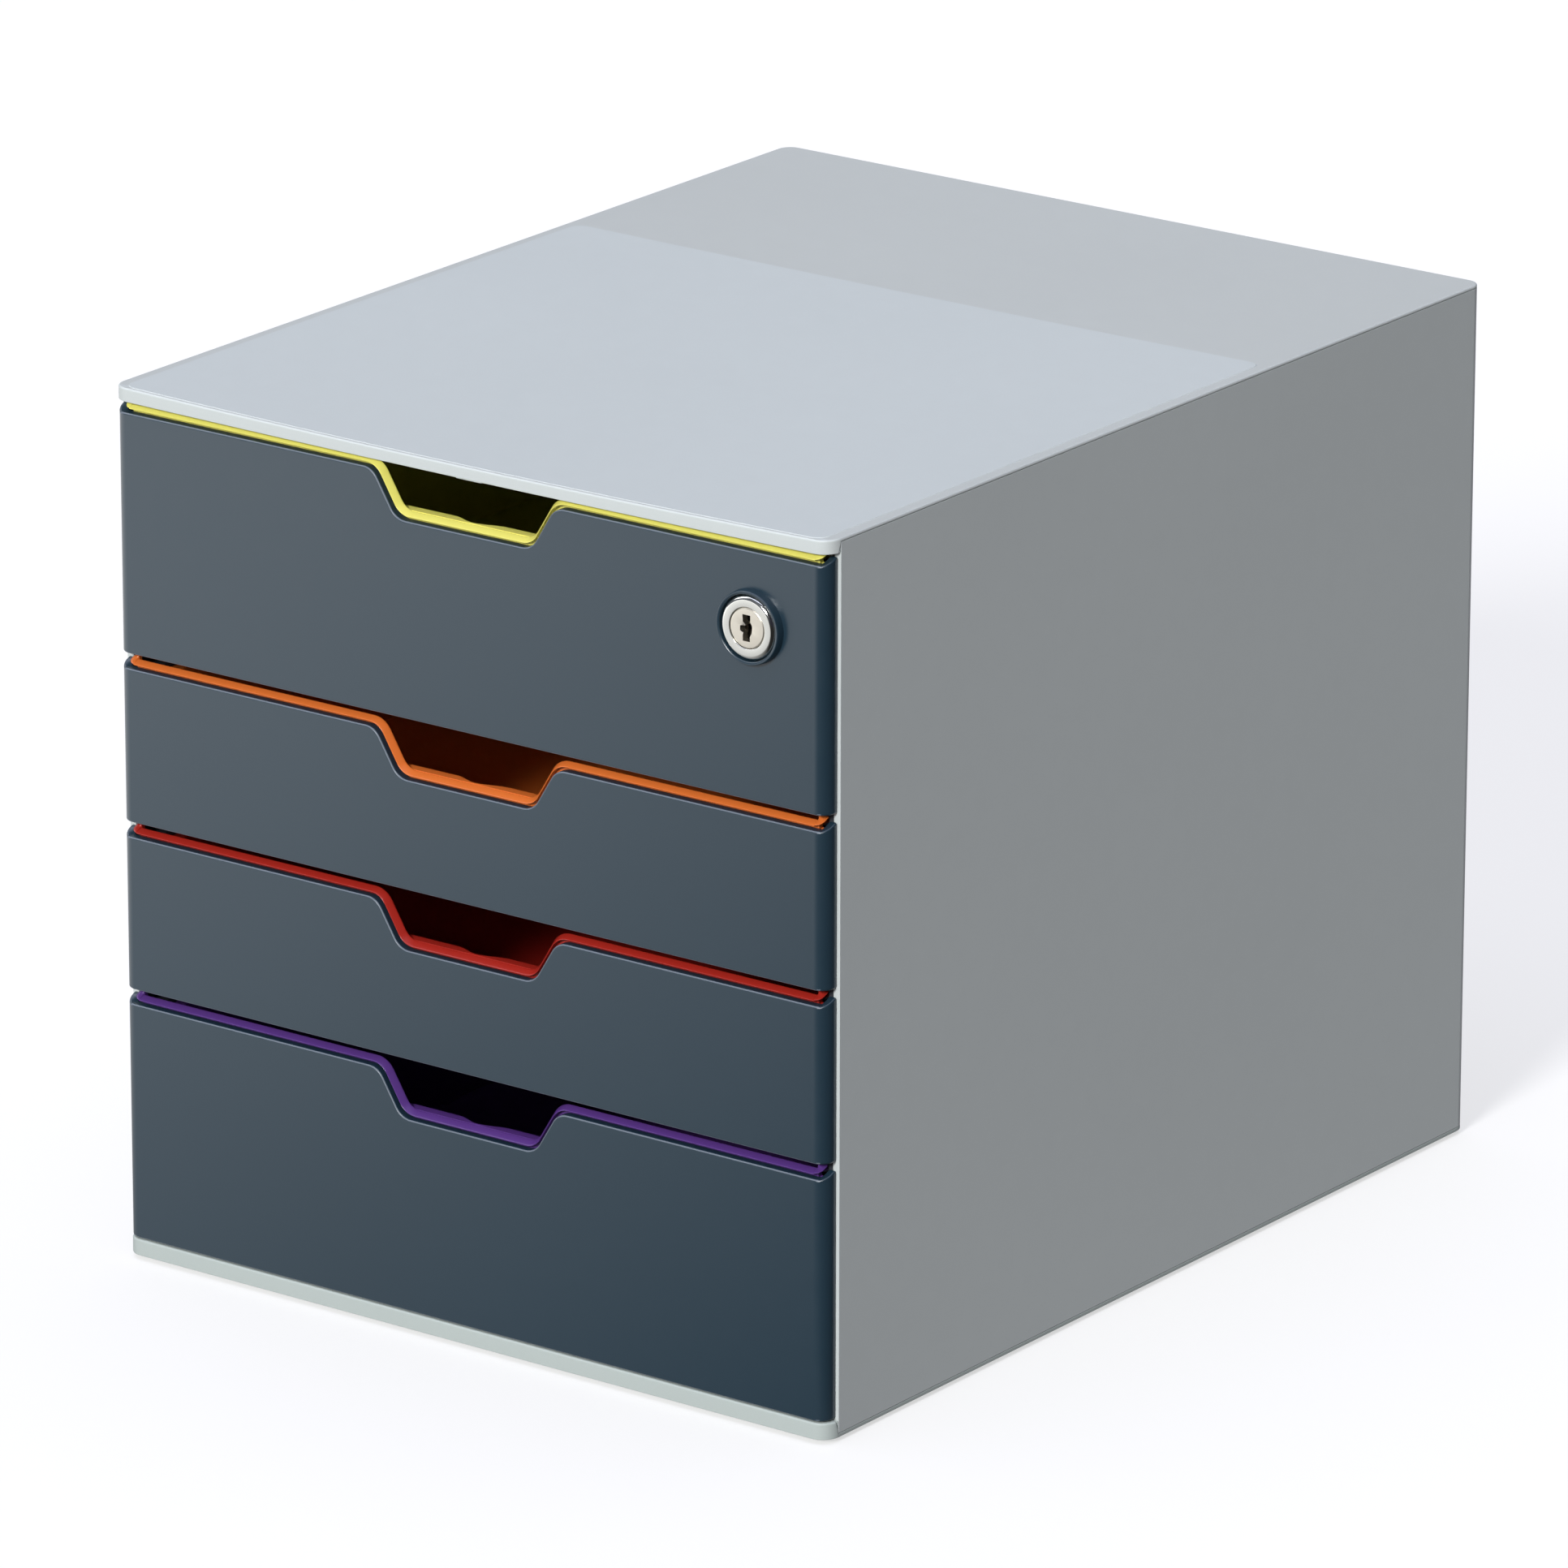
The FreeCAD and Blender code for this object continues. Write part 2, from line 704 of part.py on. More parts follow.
def make_lock_housing():
    flange_y = (case_front - ring_reach + housing_flange_sink, case_front)
    flange = rod(lock_x, lock_z, housing_flange_radius, flange_y)

    def on_face(edge):
        return all(abs(vertex.Point.y - flange_y[0]) < seam_gap for vertex in edge.Vertexes)

    flange = rounded(flange, housing_flange_round, on_face)
    body = rod(lock_x, lock_z, housing_body_radius, (case_front, at_depth(housing_length)))
    flats = block((lock_x - housing_flat_half, lock_x + housing_flat_half), (case_front, at_depth(housing_length)),
                  (lock_z - housing_body_radius, lock_z + housing_body_radius))
    housing = flange.fuse(body.common(flats)).removeSplitter()
    bore = rod(lock_x, lock_z, plug_radius + plug_gap, (flange_y[0] - overrun, at_depth(housing_length) + overrun))
    return housing.cut(bore).Solids[0]


def make_lock_nut():
    y = at_depth(tray_front_inner)
    side_angle = math.radians(whole_turn / nut_sides)
    radius = nut_across_flats * half_share / math.cos(side_angle * half_share)
    points = []
    for step in range(nut_sides + 1):
        angle = step * side_angle
        points.append(FreeCAD.Vector(lock_x + radius * math.sin(angle), y, lock_z + radius * math.cos(angle)))
    nut = Part.Face(Part.makePolygon(points)).extrude(FreeCAD.Vector(0, nut_thickness, 0))
    bore_y = (y - overrun, y + nut_thickness + overrun)
    return nut.cut(rod(lock_x, lock_z, housing_body_radius, bore_y)).Solids[0]


def wafer_fronts():
    first = case_front - ring_reach + plug_sink + wafer_first_depth
    return [first + step * wafer_pitch for step in range(wafer_count)]


def make_lock_plug():
    front = case_front - ring_reach + plug_sink
    rear = at_depth(housing_length)
    plug = rod(lock_x, lock_z, plug_radius, (front, rear))

    def on_face(edge):
        return all(abs(vertex.Point.y - front) < seam_gap for vertex in edge.Vertexes)

    plug = rounded(plug, plug_edge_round, on_face)
    square = cam_square * half_share
    stub = block((lock_x - square, lock_x + square), (rear - overrun, cam_front + cam_thickness),
                 (lock_z - square, lock_z + square))
    plug = fused([plug, stub])
    slot_x = (lock_x - keyway_width * half_share, lock_x + keyway_width * half_share)
    slot_z = (lock_z - keyway_height * half_share, lock_z + keyway_height * half_share)
    slot_y = (front - overrun, front + keyway_depth)
    plug = plug.cut(block(slot_x, slot_y, slot_z))
    notch_x = (slot_x[0] - keyway_notch_width, slot_x[0])
    notch_z = (lock_z - keyway_notch_height * half_share, lock_z + keyway_notch_height * half_share)
    plug = plug.cut(block(notch_x, slot_y, notch_z))
    for wafer_front in wafer_fronts():
        plug = plug.cut(wafer_plate(wafer_front, wafer_slot_gap))
    hole_y = (cam_front + cam_thickness - cam_screw_length, cam_front + cam_thickness + overrun)
    return plug.cut(rod(lock_x, lock_z, cam_screw_shank_radius, hole_y)).Solids[0]


def wafer_plate(front, gap):
    # plate of one wafer, made larger all round by the gap
    x = wafer_width * half_share + gap
    z = wafer_height * half_share + gap
    return block((lock_x - x, lock_x + x), (front - gap, front + wafer_thickness + gap), (lock_z - z, lock_z + z))


def make_lock_wafers():
    wafers = []
    x = wafer_window_width * half_share
    z = wafer_window_height * half_share
    for front in wafer_fronts():
        window = block((lock_x - x, lock_x + x), (front - overrun, front + wafer_thickness + overrun),
                       (lock_z - z, lock_z + z))
        wafers.append(wafer_plate(front, 0).cut(window).Solids[0])
    return Part.makeCompound(wafers)


def make_lock_cam():
    y_span = (cam_front, cam_front + cam_thickness)
    hub = rod(lock_x, lock_z, cam_hub_radius, y_span)
    arm = block((lock_x - cam_reach, lock_x), y_span, (lock_z - cam_half_width, lock_z + cam_half_width))
    arm = arm.common(rod(lock_x, lock_z, cam_reach, y_span))
    cam = fused([hub, arm])
    square = cam_square * half_share + cam_square_gap
    hole = block((lock_x - square, lock_x + square), (y_span[0] - overrun, y_span[1] + overrun),
                 (lock_z - square, lock_z + square))
    return cam.cut(hole).Solids[0]


def make_cam_screw():
    seat = cam_front + cam_thickness
    head_y = (seat, seat + cam_screw_head_height)
    head = rod(lock_x, lock_z, cam_screw_head_radius, head_y)
    shank = rod(lock_x, lock_z, cam_screw_shank_radius, (seat - cam_screw_length, seat))
    screw = fused([head, shank])
    half = cam_screw_drive_width * half_share
    slot = block((lock_x - cam_screw_head_radius, lock_x + cam_screw_head_radius),
                 (head_y[1] - cam_screw_drive_depth, head_y[1] + overrun), (lock_z - half, lock_z + half))
    return screw.cut(slot).Solids[0]


parts = {
    "top_cover": make_top_cover(),
    "base_plate": make_base_plate(),
    "side_panel_left": make_side_panel(-1),
    "side_panel_right": make_side_panel(1),
    "rear_panel": make_rear_panel(),
    "runner_frame_left": make_runner_frame(-1),
    "runner_frame_right": make_runner_frame(1),
    "casing_screws": make_casing_screws(),
    "lock_strike": make_lock_strike(),
    "lock_housing": make_lock_housing(),
    "lock_nut": make_lock_nut(),
    "lock_plug": make_lock_plug(),
    "lock_wafers": make_lock_wafers(),
    "lock_cam": make_lock_cam(),
    "cam_screw": make_cam_screw(),
}

foot_names = ("foot_front_left", "foot_front_right", "foot_rear_left", "foot_rear_right")
for foot_name, foot_centre in zip(foot_names, foot_centres()):
    parts[foot_name] = make_foot(foot_centre)

for drawer_index in range(len(drawer_units)):
    drawer_number = str(drawer_index + 1)
    parts["drawer_front_" + drawer_number] = make_drawer_front(drawer_index)
    parts["drawer_tray_" + drawer_number] = make_tray(drawer_index)

os.makedirs("parts", exist_ok=True)
for name, shape in parts.items():
    shape.exportStep(os.path.join("parts", name + ".step"))
    box = shape.BoundBox
    print("%-20s solids %d valid %s  x %.2f %.2f  y %.2f %.2f  z %.2f %.2f" % (
        name, len(shape.Solids), shape.isValid(), box.XMin, box.XMax, box.YMin, box.YMax, box.ZMin, box.ZMax))
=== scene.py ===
# %% [markdown]
# # A desktop file drawer
# A pale plastic casing holds four drawers. Each drawer is a coloured tray with a dark moulded front, and
# the top one has a small cam lock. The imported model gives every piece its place. This lesson builds the
# pieces that show as finer meshes in those places and gives all of them their finishes.

import math

import bmesh
import bpy
from mathutils import Matrix, Vector


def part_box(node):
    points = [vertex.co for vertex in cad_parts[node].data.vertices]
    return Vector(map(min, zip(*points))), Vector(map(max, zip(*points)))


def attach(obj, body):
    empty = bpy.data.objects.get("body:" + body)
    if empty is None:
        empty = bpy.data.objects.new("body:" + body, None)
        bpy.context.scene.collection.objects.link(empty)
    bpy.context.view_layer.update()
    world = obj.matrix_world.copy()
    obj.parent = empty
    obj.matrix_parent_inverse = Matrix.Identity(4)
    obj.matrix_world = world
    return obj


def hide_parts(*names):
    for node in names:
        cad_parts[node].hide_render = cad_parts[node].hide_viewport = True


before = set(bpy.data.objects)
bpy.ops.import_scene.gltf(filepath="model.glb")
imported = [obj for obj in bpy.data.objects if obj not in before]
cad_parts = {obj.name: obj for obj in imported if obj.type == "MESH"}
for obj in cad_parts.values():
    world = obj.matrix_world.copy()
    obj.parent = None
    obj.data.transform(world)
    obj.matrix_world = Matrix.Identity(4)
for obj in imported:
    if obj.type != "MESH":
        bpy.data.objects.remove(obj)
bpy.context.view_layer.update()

# %% [markdown]
# The pieces are small, so they are drawn in millimetres, as (across, depth behind the casing's front,
# height), and turned into metres when a mesh is made. The heights of the drawers are read from the frame
# and not typed again, so a piece can't drift away from the one it stands for.

# %% Sizes shared by the pieces
MM = 0.001


def extent(node):
    """The lowest and highest corner of a CAD piece, in millimetres."""
    low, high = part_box(node)
    return [value / MM for value in low], [value / MM for value in high]


CASE_FRONT = extent("drawer_front_2")[0][1]
CASE_BOTTOM = extent("base_plate")[0][2]
CASE_TOP = extent("top_cover")[1][2]
HALF_WIDTH = extent("side_panel_right")[1][0]
CASE_DEPTH = extent("side_panel_right")[1][1] - CASE_FRONT
LOCK_X = 111.0
LOCK_Z = CASE_TOP - 32.0
LIP_DEPTH = 5.55
ROUND_STEPS = 4
print("casing", round(HALF_WIDTH * 2, 2), round(CASE_DEPTH, 2), round(CASE_TOP, 2))

# %% [markdown]
# Most pieces here are skins: rows of points that run lengthwise and are stitched to the next row. A
# cube with a bevel modifier would be shorter to write, but the finger cut-outs and the wrapped corners
# need rows that keep the same number of points while their shape changes.

# %% Stitching rows into a skin
def stitch(rows, closed=True):
    """Faces between rows of equal length. closed joins the last row to the first and fills both ends."""
    width = len(rows[0])
    points = [point for row in rows for point in row]
    faces = []
    for row in range(len(rows) if closed else len(rows) - 1):
        here, there = row * width, (row + 1) % len(rows) * width
        faces += [(here + k, here + k + 1, there + k + 1, there + k) for k in range(width - 1)]
    if closed:
        faces.append(tuple(row * width for row in range(len(rows)))[::-1])
        faces.append(tuple(row * width + width - 1 for row in range(len(rows))))
    return points, faces


def ring_stitch(rings):
    """Faces between closed rings of equal length."""
    width = len(rings[0])
    points = [point for ring in rings for point in ring]
    faces = []
    for row in range(len(rings) - 1):
        here, there = row * width, (row + 1) * width
        faces += [(here + k, here + (k + 1) % width, there + (k + 1) % width, there + k) for k in range(width)]
    return points, faces


def full_turn(steps):
    """Angles of equal steps round a circle."""
    return [2 * math.pi * step / steps for step in range(steps)]


def plug(rings):
    """A closed shape between two rings with the same number of points."""
    points, faces = ring_stitch(rings)
    count = len(rings[0])
    return points, faces + [tuple(range(count))[::-1], tuple(range(count, 2 * count))]


def bar(across, depth, height, softness=0.25):
    """A straight bar with softened edges."""
    mesh = bmesh.new()
    bmesh.ops.create_cube(mesh, size=1)
    spans = (across, depth, height)
    for vertex in mesh.verts:
        vertex.co = [(span[0] + span[1]) / 2 + share * (span[1] - span[0]) for span, share in zip(spans, vertex.co)]
    if softness:
        bmesh.ops.bevel(mesh, geom=mesh.edges[:], offset=softness, segments=2, profile=0.5, affect="EDGES")
    mesh.verts.index_update()
    shape = [tuple(v.co) for v in mesh.verts], [tuple(v.index for v in face.verts) for face in mesh.faces]
    mesh.free()
    return shape


print("faces of a softened bar:", len(bar((0, 1), (0, 1), (0, 1))[1]))

# %% [markdown]
# A piece is gathered from such skins and bars into one mesh. Holes are cut with a boolean modifier, which is
# applied at once: the exact solver copes with faces that only just meet. Large flats then get weighted
# normals, so that they look flat beside their small rounded edges.

# %% Making a piece and cutting it
SAME_POINT = 0.002


def mesh_from(name, shapes):
    """One mesh from several (points, faces) shapes, in metres in the row frame, with its normals outward."""
    mesh = bmesh.new()
    for points, faces in shapes:
        made = [mesh.verts.new((x * MM, (CASE_FRONT + depth) * MM, z * MM)) for x, depth, z in points]
        for face in faces:
            corners = list(dict.fromkeys(face))
            if len(corners) > 2:
                mesh.faces.new([made[index] for index in corners])
        bmesh.ops.remove_doubles(mesh, verts=made, dist=SAME_POINT * MM)
    bmesh.ops.dissolve_degenerate(mesh, edges=mesh.edges[:], dist=SAME_POINT * MM)
    bmesh.ops.recalc_face_normals(mesh, faces=mesh.faces[:])
    data = bpy.data.meshes.new(name)
    mesh.to_mesh(data)
    mesh.free()
    return data


def piece_from(name, shapes):
    piece = bpy.data.objects.new(name, mesh_from(name, shapes))
    bpy.context.scene.collection.objects.link(piece)
    return piece


def settle(piece):
    """Turns a piece's modifiers into its own mesh."""
    bpy.context.view_layer.update()
    seen = piece.evaluated_get(bpy.context.evaluated_depsgraph_get())
    mesh = bpy.data.meshes.new_from_object(seen)
    piece.modifiers.clear()
    piece.data = mesh


def drilled(piece, cutters):
    """Cuts the shapes out of the piece."""
    tool = piece_from("cutter", cutters)
    cut = piece.modifiers.new("cut", "BOOLEAN")
    cut.operation, cut.solver, cut.object = "DIFFERENCE", "EXACT", tool
    settle(piece)
    bpy.data.objects.remove(tool)


def joined(piece, shapes):
    """Adds more shapes to a piece that has been drilled."""
    mesh = bmesh.new()
    mesh.from_mesh(piece.data)
    mesh.from_mesh(mesh_from("extra", shapes))
    mesh.to_mesh(piece.data)
    mesh.free()


print("points closer than", SAME_POINT, "mm become one")

# %% Shading a piece and putting it in its place
SHARP = 38


def smoothed(piece):
    """Smooth shading that stays sharp at hard corners and flat on the large faces."""
    mesh = bmesh.new()
    mesh.from_mesh(piece.data)
    for face in mesh.faces:
        face.smooth = True
    for edge in mesh.edges:
        angle = edge.calc_face_angle(math.pi) if len(edge.link_faces) == 2 else math.pi
        edge.smooth = angle < math.radians(SHARP)
    mesh.to_mesh(piece.data)
    mesh.free()
    weighted = piece.modifiers.new("flat", "WEIGHTED_NORMAL")
    weighted.keep_sharp = True
    weighted.weight = 90
    settle(piece)


def finished(piece, node, body, material, other=None, takes_other=None):
    """Shades a piece, gives it its finish and puts it in the place of its CAD node. Faces for which
    takes_other says yes take the other finish."""
    smoothed(piece)
    piece.data.materials.append(material)
    if other:
        piece.data.materials.append(other)
        for face in piece.data.polygons:
            face.material_index = int(takes_other(face))
    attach(piece, body)
    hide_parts(node)
    print(f"{piece.name}: {len(piece.data.polygons)} faces, rides on {body}")


print("edges that bend more than", SHARP, "degrees stay hard")

# %% [markdown]
# ## The finishes
# Nearly all of the object is injection-moulded plastic. Such a surface has three scales of detail: a faint
# drift of tone over a hand's width, a mottle where the mould is worn, and a fine spark-eroded grain that
# breaks up its highlights. One shader group makes all three, so every plastic shares it and only the
# numbers differ. A flat colour would make the casing look like paper. The field of the cover and its plain
# border are the same plastic in slightly different tones. The base is the same plastic painted a little
# darker, as painted shade, and the small edges of the drawer fronts are painted lighter, as a painted
# highlight.

# %% Colours and node helpers
def tone(red, green, blue):
    """A colour picked on screen, as the linear values that shaders use."""
    def linear(value):
        value /= 255
        return value / 12.92 if value <= 0.04045 else ((value + 0.055) / 1.055) ** 2.4
    return linear(red), linear(green), linear(blue), 1.0


def new_group(name, inputs):
    """A shader group that takes the given values and gives out a colour, a roughness and a height."""
    group = bpy.data.node_groups.new(name, "ShaderNodeTree")
    number, colour = "NodeSocketFloat", "NodeSocketColor"
    for label, value in inputs.items():
        kind = colour if isinstance(value, tuple) else number
        group.interface.new_socket(label, in_out="INPUT", socket_type=kind).default_value = value
    for label, kind in (("Colour", colour), ("Roughness", number), ("Height", number)):
        group.interface.new_socket(label, in_out="OUTPUT", socket_type=kind)
    return group, group.nodes.new("NodeGroupInput").outputs, group.nodes.new("NodeGroupOutput").inputs


def noise(tree, place, scale, detail=2.0, roughness=0.5):
    node = tree.nodes.new("ShaderNodeTexNoise")
    node.inputs["Scale"].default_value = scale
    node.inputs["Detail"].default_value = detail
    node.inputs["Roughness"].default_value = roughness
    tree.links.new(place, node.inputs["Vector"])
    return node.outputs["Fac"]


def maths(tree, operation, first, second, third=None):
    node = tree.nodes.new("ShaderNodeMath")
    node.operation = operation
    for socket, value in zip(node.inputs, (first, second, third)):
        if isinstance(value, (int, float)):
            socket.default_value = value
        elif value is not None:
            tree.links.new(value, socket)
    return node.outputs[0]


def swing(tree, value):
    """Noise that goes evenly to both sides of zero."""
    return maths(tree, "SUBTRACT", value, 0.5)


def scaled(tree, colour, level):
    """A colour made lighter or darker by a level."""
    node = tree.nodes.new("ShaderNodeVectorMath")
    node.operation = "SCALE"
    tree.links.new(colour, node.inputs[0])
    tree.links.new(level, node.inputs["Scale"])
    return node.outputs[0]


CASING_COLOUR = tone(205, 212, 210)
print("the casing's colour in linear values:", [round(value, 3) for value in CASING_COLOUR])

# %% The moulded plastic group
moulded, given, put = new_group("moulded plastic surface", {
    "Colour": (0.5, 0.5, 0.5, 1), "Drift": 0.04, "Mottle": 0.03, "Roughness": 0.4, "Rub": 0.08})
DRIFT_SCALE, WEAR_SCALE, GRAIN_SCALE, GRAIN_TONE = 9, 130, 2600, 0.04
where = moulded.nodes.new("ShaderNodeTexCoord").outputs["Object"]
wide = noise(moulded, where, DRIFT_SCALE, 1.0)
middle = noise(moulded, where, WEAR_SCALE, 3.0, 0.6)
grain = noise(moulded, where, GRAIN_SCALE, 1.0)
drift = maths(moulded, "MULTIPLY", swing(moulded, wide), given["Drift"])
mottle = maths(moulded, "MULTIPLY", swing(moulded, middle), given["Mottle"])
speck = maths(moulded, "MULTIPLY", swing(moulded, grain), GRAIN_TONE)
level = maths(moulded, "ADD", maths(moulded, "ADD", drift, mottle), maths(moulded, "ADD", speck, 1.0))
rub = maths(moulded, "MULTIPLY_ADD", swing(moulded, middle), given["Rub"], given["Roughness"])
moulded.links.new(scaled(moulded, given["Colour"], level), put["Colour"])
moulded.links.new(rub, put["Roughness"])
moulded.links.new(grain, put["Height"])
print("plastic group sockets:", [item.name for item in moulded.interface.items_tree])

# %% [markdown]
# Each plastic is this group in front of a Principled shader. The casing is matt with a clear grain, the
# drawer fronts are darker and a little smoother, and the trays are a satin plastic in strong colours whose
# raised edges catch the light.

# %% A material from a surface group
def coated(name, group, colour, values, strength, depth):
    """A material whose colour, roughness and bump come from the group. Gives back its shader as well."""
    material = bpy.data.materials.new(name)
    material.use_nodes = True
    material.diffuse_color = colour
    tree = material.node_tree
    shader = tree.nodes["Principled BSDF"]
    surface = tree.nodes.new("ShaderNodeGroup")
    surface.node_tree = group
    for label, value in {"Colour": colour, **values}.items():
        surface.inputs[label].default_value = value
    bump = tree.nodes.new("ShaderNodeBump")
    bump.inputs["Strength"].default_value = strength
    bump.inputs["Distance"].default_value = depth * MM
    tree.links.new(surface.outputs["Height"], bump.inputs["Height"])
    tree.links.new(surface.outputs["Colour"], shader.inputs["Base Color"])
    tree.links.new(surface.outputs["Roughness"], shader.inputs["Roughness"])
    tree.links.new(bump.outputs["Normal"], shader.inputs["Normal"])
    return material, shader


# %% The plastics
def plastic(name, colour, roughness, grain_height, drift=0.04, gloss=0.5):
    material, shader = coated(name, moulded, colour, {"Drift": drift, "Roughness": roughness}, 0.35, grain_height)
    shader.inputs["Specular IOR Level"].default_value = gloss
    return material


casing_plastic = plastic("pale casing plastic", CASING_COLOUR, 0.5, 0.05, gloss=0.35)
border_plastic = plastic("pale border plastic", tone(200, 205, 201), 0.42, 0.03, gloss=0.3)
# The base takes a darker copy of the casing plastic: painted shade.
base_shade_plastic = plastic("base plastic with painted shade", tone(184, 194, 190), 0.5, 0.05, gloss=0.35)
runner_plastic = plastic("dark runner plastic", tone(52, 56, 62), 0.55, 0.03)
front_plastic = plastic("slate front plastic", tone(31, 53, 66), 0.3, 0.03, drift=0.08, gloss=1.0)
# The small edges of the fronts take a lighter plastic: a painted highlight along their top and bottom edges.
edge_highlight_plastic = plastic("front edge plastic with painted highlight", tone(104, 114, 125), 0.4, 0.03, drift=0.1)
tray_tones = {"yellow": tone(239, 232, 116), "orange": tone(224, 116, 50), "red": tone(168, 40, 30),
              "purple": tone(88, 54, 128)}
tray_plastics = {colour: plastic(f"{colour} tray plastic", shade, 0.3, 0.02, gloss=0.4)
                 for colour, shade in tray_tones.items()}
foot_rubber = plastic("black foot rubber", tone(44, 44, 46), 0.75, 0.06)
print("plastics made; materials so far:", len(bpy.data.materials))

# %% [markdown]
# The lock is metal. Plated brass is never a perfect mirror: fine scratches lie in all directions and the
# plating has faint clouds. A second group stretches noise into hairlines and gives a roughness and a
# height. The collar is bright chrome, the barrel a creamy satin nickel and the hidden parts are zinc or
# brass. The brass of the wafers is painted nearly black, as painted shade for the depth of the keyway.

# %% The rubbed metal group
scratched, given, put = new_group("rubbed metal surface", {
    "Colour": (0.8, 0.8, 0.8, 1), "Cloud": 0.06, "Roughness": 0.2, "Hairlines": 0.1})
where = scratched.nodes.new("ShaderNodeTexCoord").outputs["Object"]
stretched = scratched.nodes.new("ShaderNodeMapping")
stretched.inputs["Scale"].default_value = (1.0, 9.0, 14.0)
stretched.inputs["Rotation"].default_value = (0.4, 0.5, 0.9)
scratched.links.new(where, stretched.inputs["Vector"])
HAIR_SCALE, CLOUD_SCALE = 420, 210
hairs = noise(scratched, stretched.outputs["Vector"], HAIR_SCALE, 3.0, 0.7)
clouds = noise(scratched, where, CLOUD_SCALE, 2.0)
cloud = maths(scratched, "MULTIPLY_ADD", swing(scratched, clouds), given["Cloud"], 1.0)
rubbed = maths(scratched, "MULTIPLY_ADD", swing(scratched, hairs), given["Hairlines"], given["Roughness"])
scratched.links.new(scaled(scratched, given["Colour"], cloud), put["Colour"])
scratched.links.new(rubbed, put["Roughness"])
scratched.links.new(hairs, put["Height"])
print("metal group sockets:", [item.name for item in scratched.interface.items_tree])


# %% The metals
def metal(name, colour, roughness, hairlines):
    material, shader = coated(name, scratched, colour, {"Roughness": roughness, "Hairlines": hairlines}, 0.3, 0.004)
    shader.inputs["Metallic"].default_value = 1.0
    return material


chrome = metal("bright chrome plate", tone(240, 241, 236), 0.1, 0.05)
nickel = metal("satin nickel plate", tone(246, 240, 226), 0.3, 0.1)
zinc = metal("zinc plated steel", tone(196, 198, 202), 0.34, 0.2)
# The wafers' brass is painted nearly black: painted shade for the depth of the keyway.
brass = metal("brass painted dark as shade", tone(36, 32, 26), 0.5, 0.15)
print("metals:", [m.name for m in (chrome, nickel, zinc, brass)])

# %% [markdown]
# ## The top cover
# The cover is one shallow moulding. A lip hangs down in front with a rounded corner at each end, a thin
# edge runs round the other sides, and a flat field stands a hair proud of the top. Over its span the
# real cover sags a little towards the front, which shows as a slight bow of its front edge. Every point
# round the plan gets its own section from the underside to the field, so the lip can run out into the
# thin edge with no seam, and the sag is added to all the points at the end. Two ribs run back under the
# cover and a small nib hangs below its lip.

# %% Plan outlines
def plan_outline(half, front, rear, front_radius, rear_radius, runs=14, steps=8):
    """Points round a rounded rectangle with their outward directions: the front left to right, then the rear
    right to left. Both hold the same number of points, so the flats can be filled in straight columns."""
    def row(depth, radius, sign):
        points = []
        for corner, centre in ((-1, radius - half), (1, half - radius)):
            turns = [math.radians(90 * step / steps) for step in range(steps + 1)]
            for turn in (reversed(turns) if corner < 0 else turns):
                out = (corner * math.sin(turn), sign * math.cos(turn))
                points.append((centre + radius * out[0], depth - sign * radius + radius * out[1], out))
            if corner < 0:
                for run in range(1, runs):
                    points.append((centre + (half - radius) * 2 * run / runs, depth, (0, sign)))
        return points
    return row(front, front_radius, -1) + row(rear, rear_radius, 1)[::-1]


def columns(first, width):
    """Faces that fill a ring of points in straight columns. first is the index of its first point."""
    return [(first + k, first + k + 1, first + width - 2 - k, first + width - 1 - k) for k in range(width // 2 - 1)]


def quarter(radius):
    """(inset, rise) steps round a small outer edge, from the upright face to the level one."""
    turns = [math.radians(90 * step / ROUND_STEPS) for step in range(ROUND_STEPS + 1)]
    return [(radius * (1 - math.cos(turn)), radius * math.sin(turn)) for turn in turns]


FRONT_CORNER, REAR_CORNER = 6.0, 5.0
outline = plan_outline(HALF_WIDTH, 0, CASE_DEPTH, FRONT_CORNER, REAR_CORNER)
print("points round the plan:", len(outline))

# %% The cover's levels and sections
SAG_TOP = 1.5
SAG_LIP = 0.85
COVER_LIP = CASE_TOP - 4.8
COVER_EDGE = CASE_TOP - 1.3
COVER_UNDER = CASE_TOP - 1.8
PLATE_TOP = CASE_TOP - 0.2
CROWN = 0.7
PANEL_SEAT = 2.6


def sagged(shape):
    """Lets the front of the cover hang a little in the middle."""
    points, faces = shape
    bent = []
    for x, depth, z in points:
        bow = (1 - (x / HALF_WIDTH) ** 2) * max(1 - depth / CASE_DEPTH, 0)
        share = min(max((z - COVER_LIP) / (CASE_TOP - COVER_LIP), 0), 1)
        bent.append((x, depth, z - bow * (SAG_LIP + (SAG_TOP - SAG_LIP) * share)))
    return bent, faces


def section_skin(lip_rows, edge_rows, top_rings=()):
    """A skin round the plan whose section differs between the lip in front and the thin edge elsewhere."""
    rings = []
    for lip, edge in zip(lip_rows, edge_rows):
        ring = []
        for (x, depth, out) in outline:
            in_lip = out[1] < 0 and depth <= LIP_DEPTH + 0.01
            inset, z = lip if in_lip else edge
            if in_lip and inset == "rear":
                ring.append((x, LIP_DEPTH, z))
            elif in_lip:
                ring.append((x - out[0] * inset, min(depth - out[1] * inset, LIP_DEPTH), z))
            else:
                ring.append((x - out[0] * inset, depth - out[1] * inset, z))
        rings.append(ring)
    rings += top_rings
    points, faces = ring_stitch(rings)
    width = len(outline)
    return points, faces + columns(0, width) + columns((len(rings) - 1) * width, width)


print("levels of the cover:", [round(z, 2) for z in (COVER_LIP, COVER_UNDER, COVER_EDGE, PLATE_TOP, CASE_TOP)])

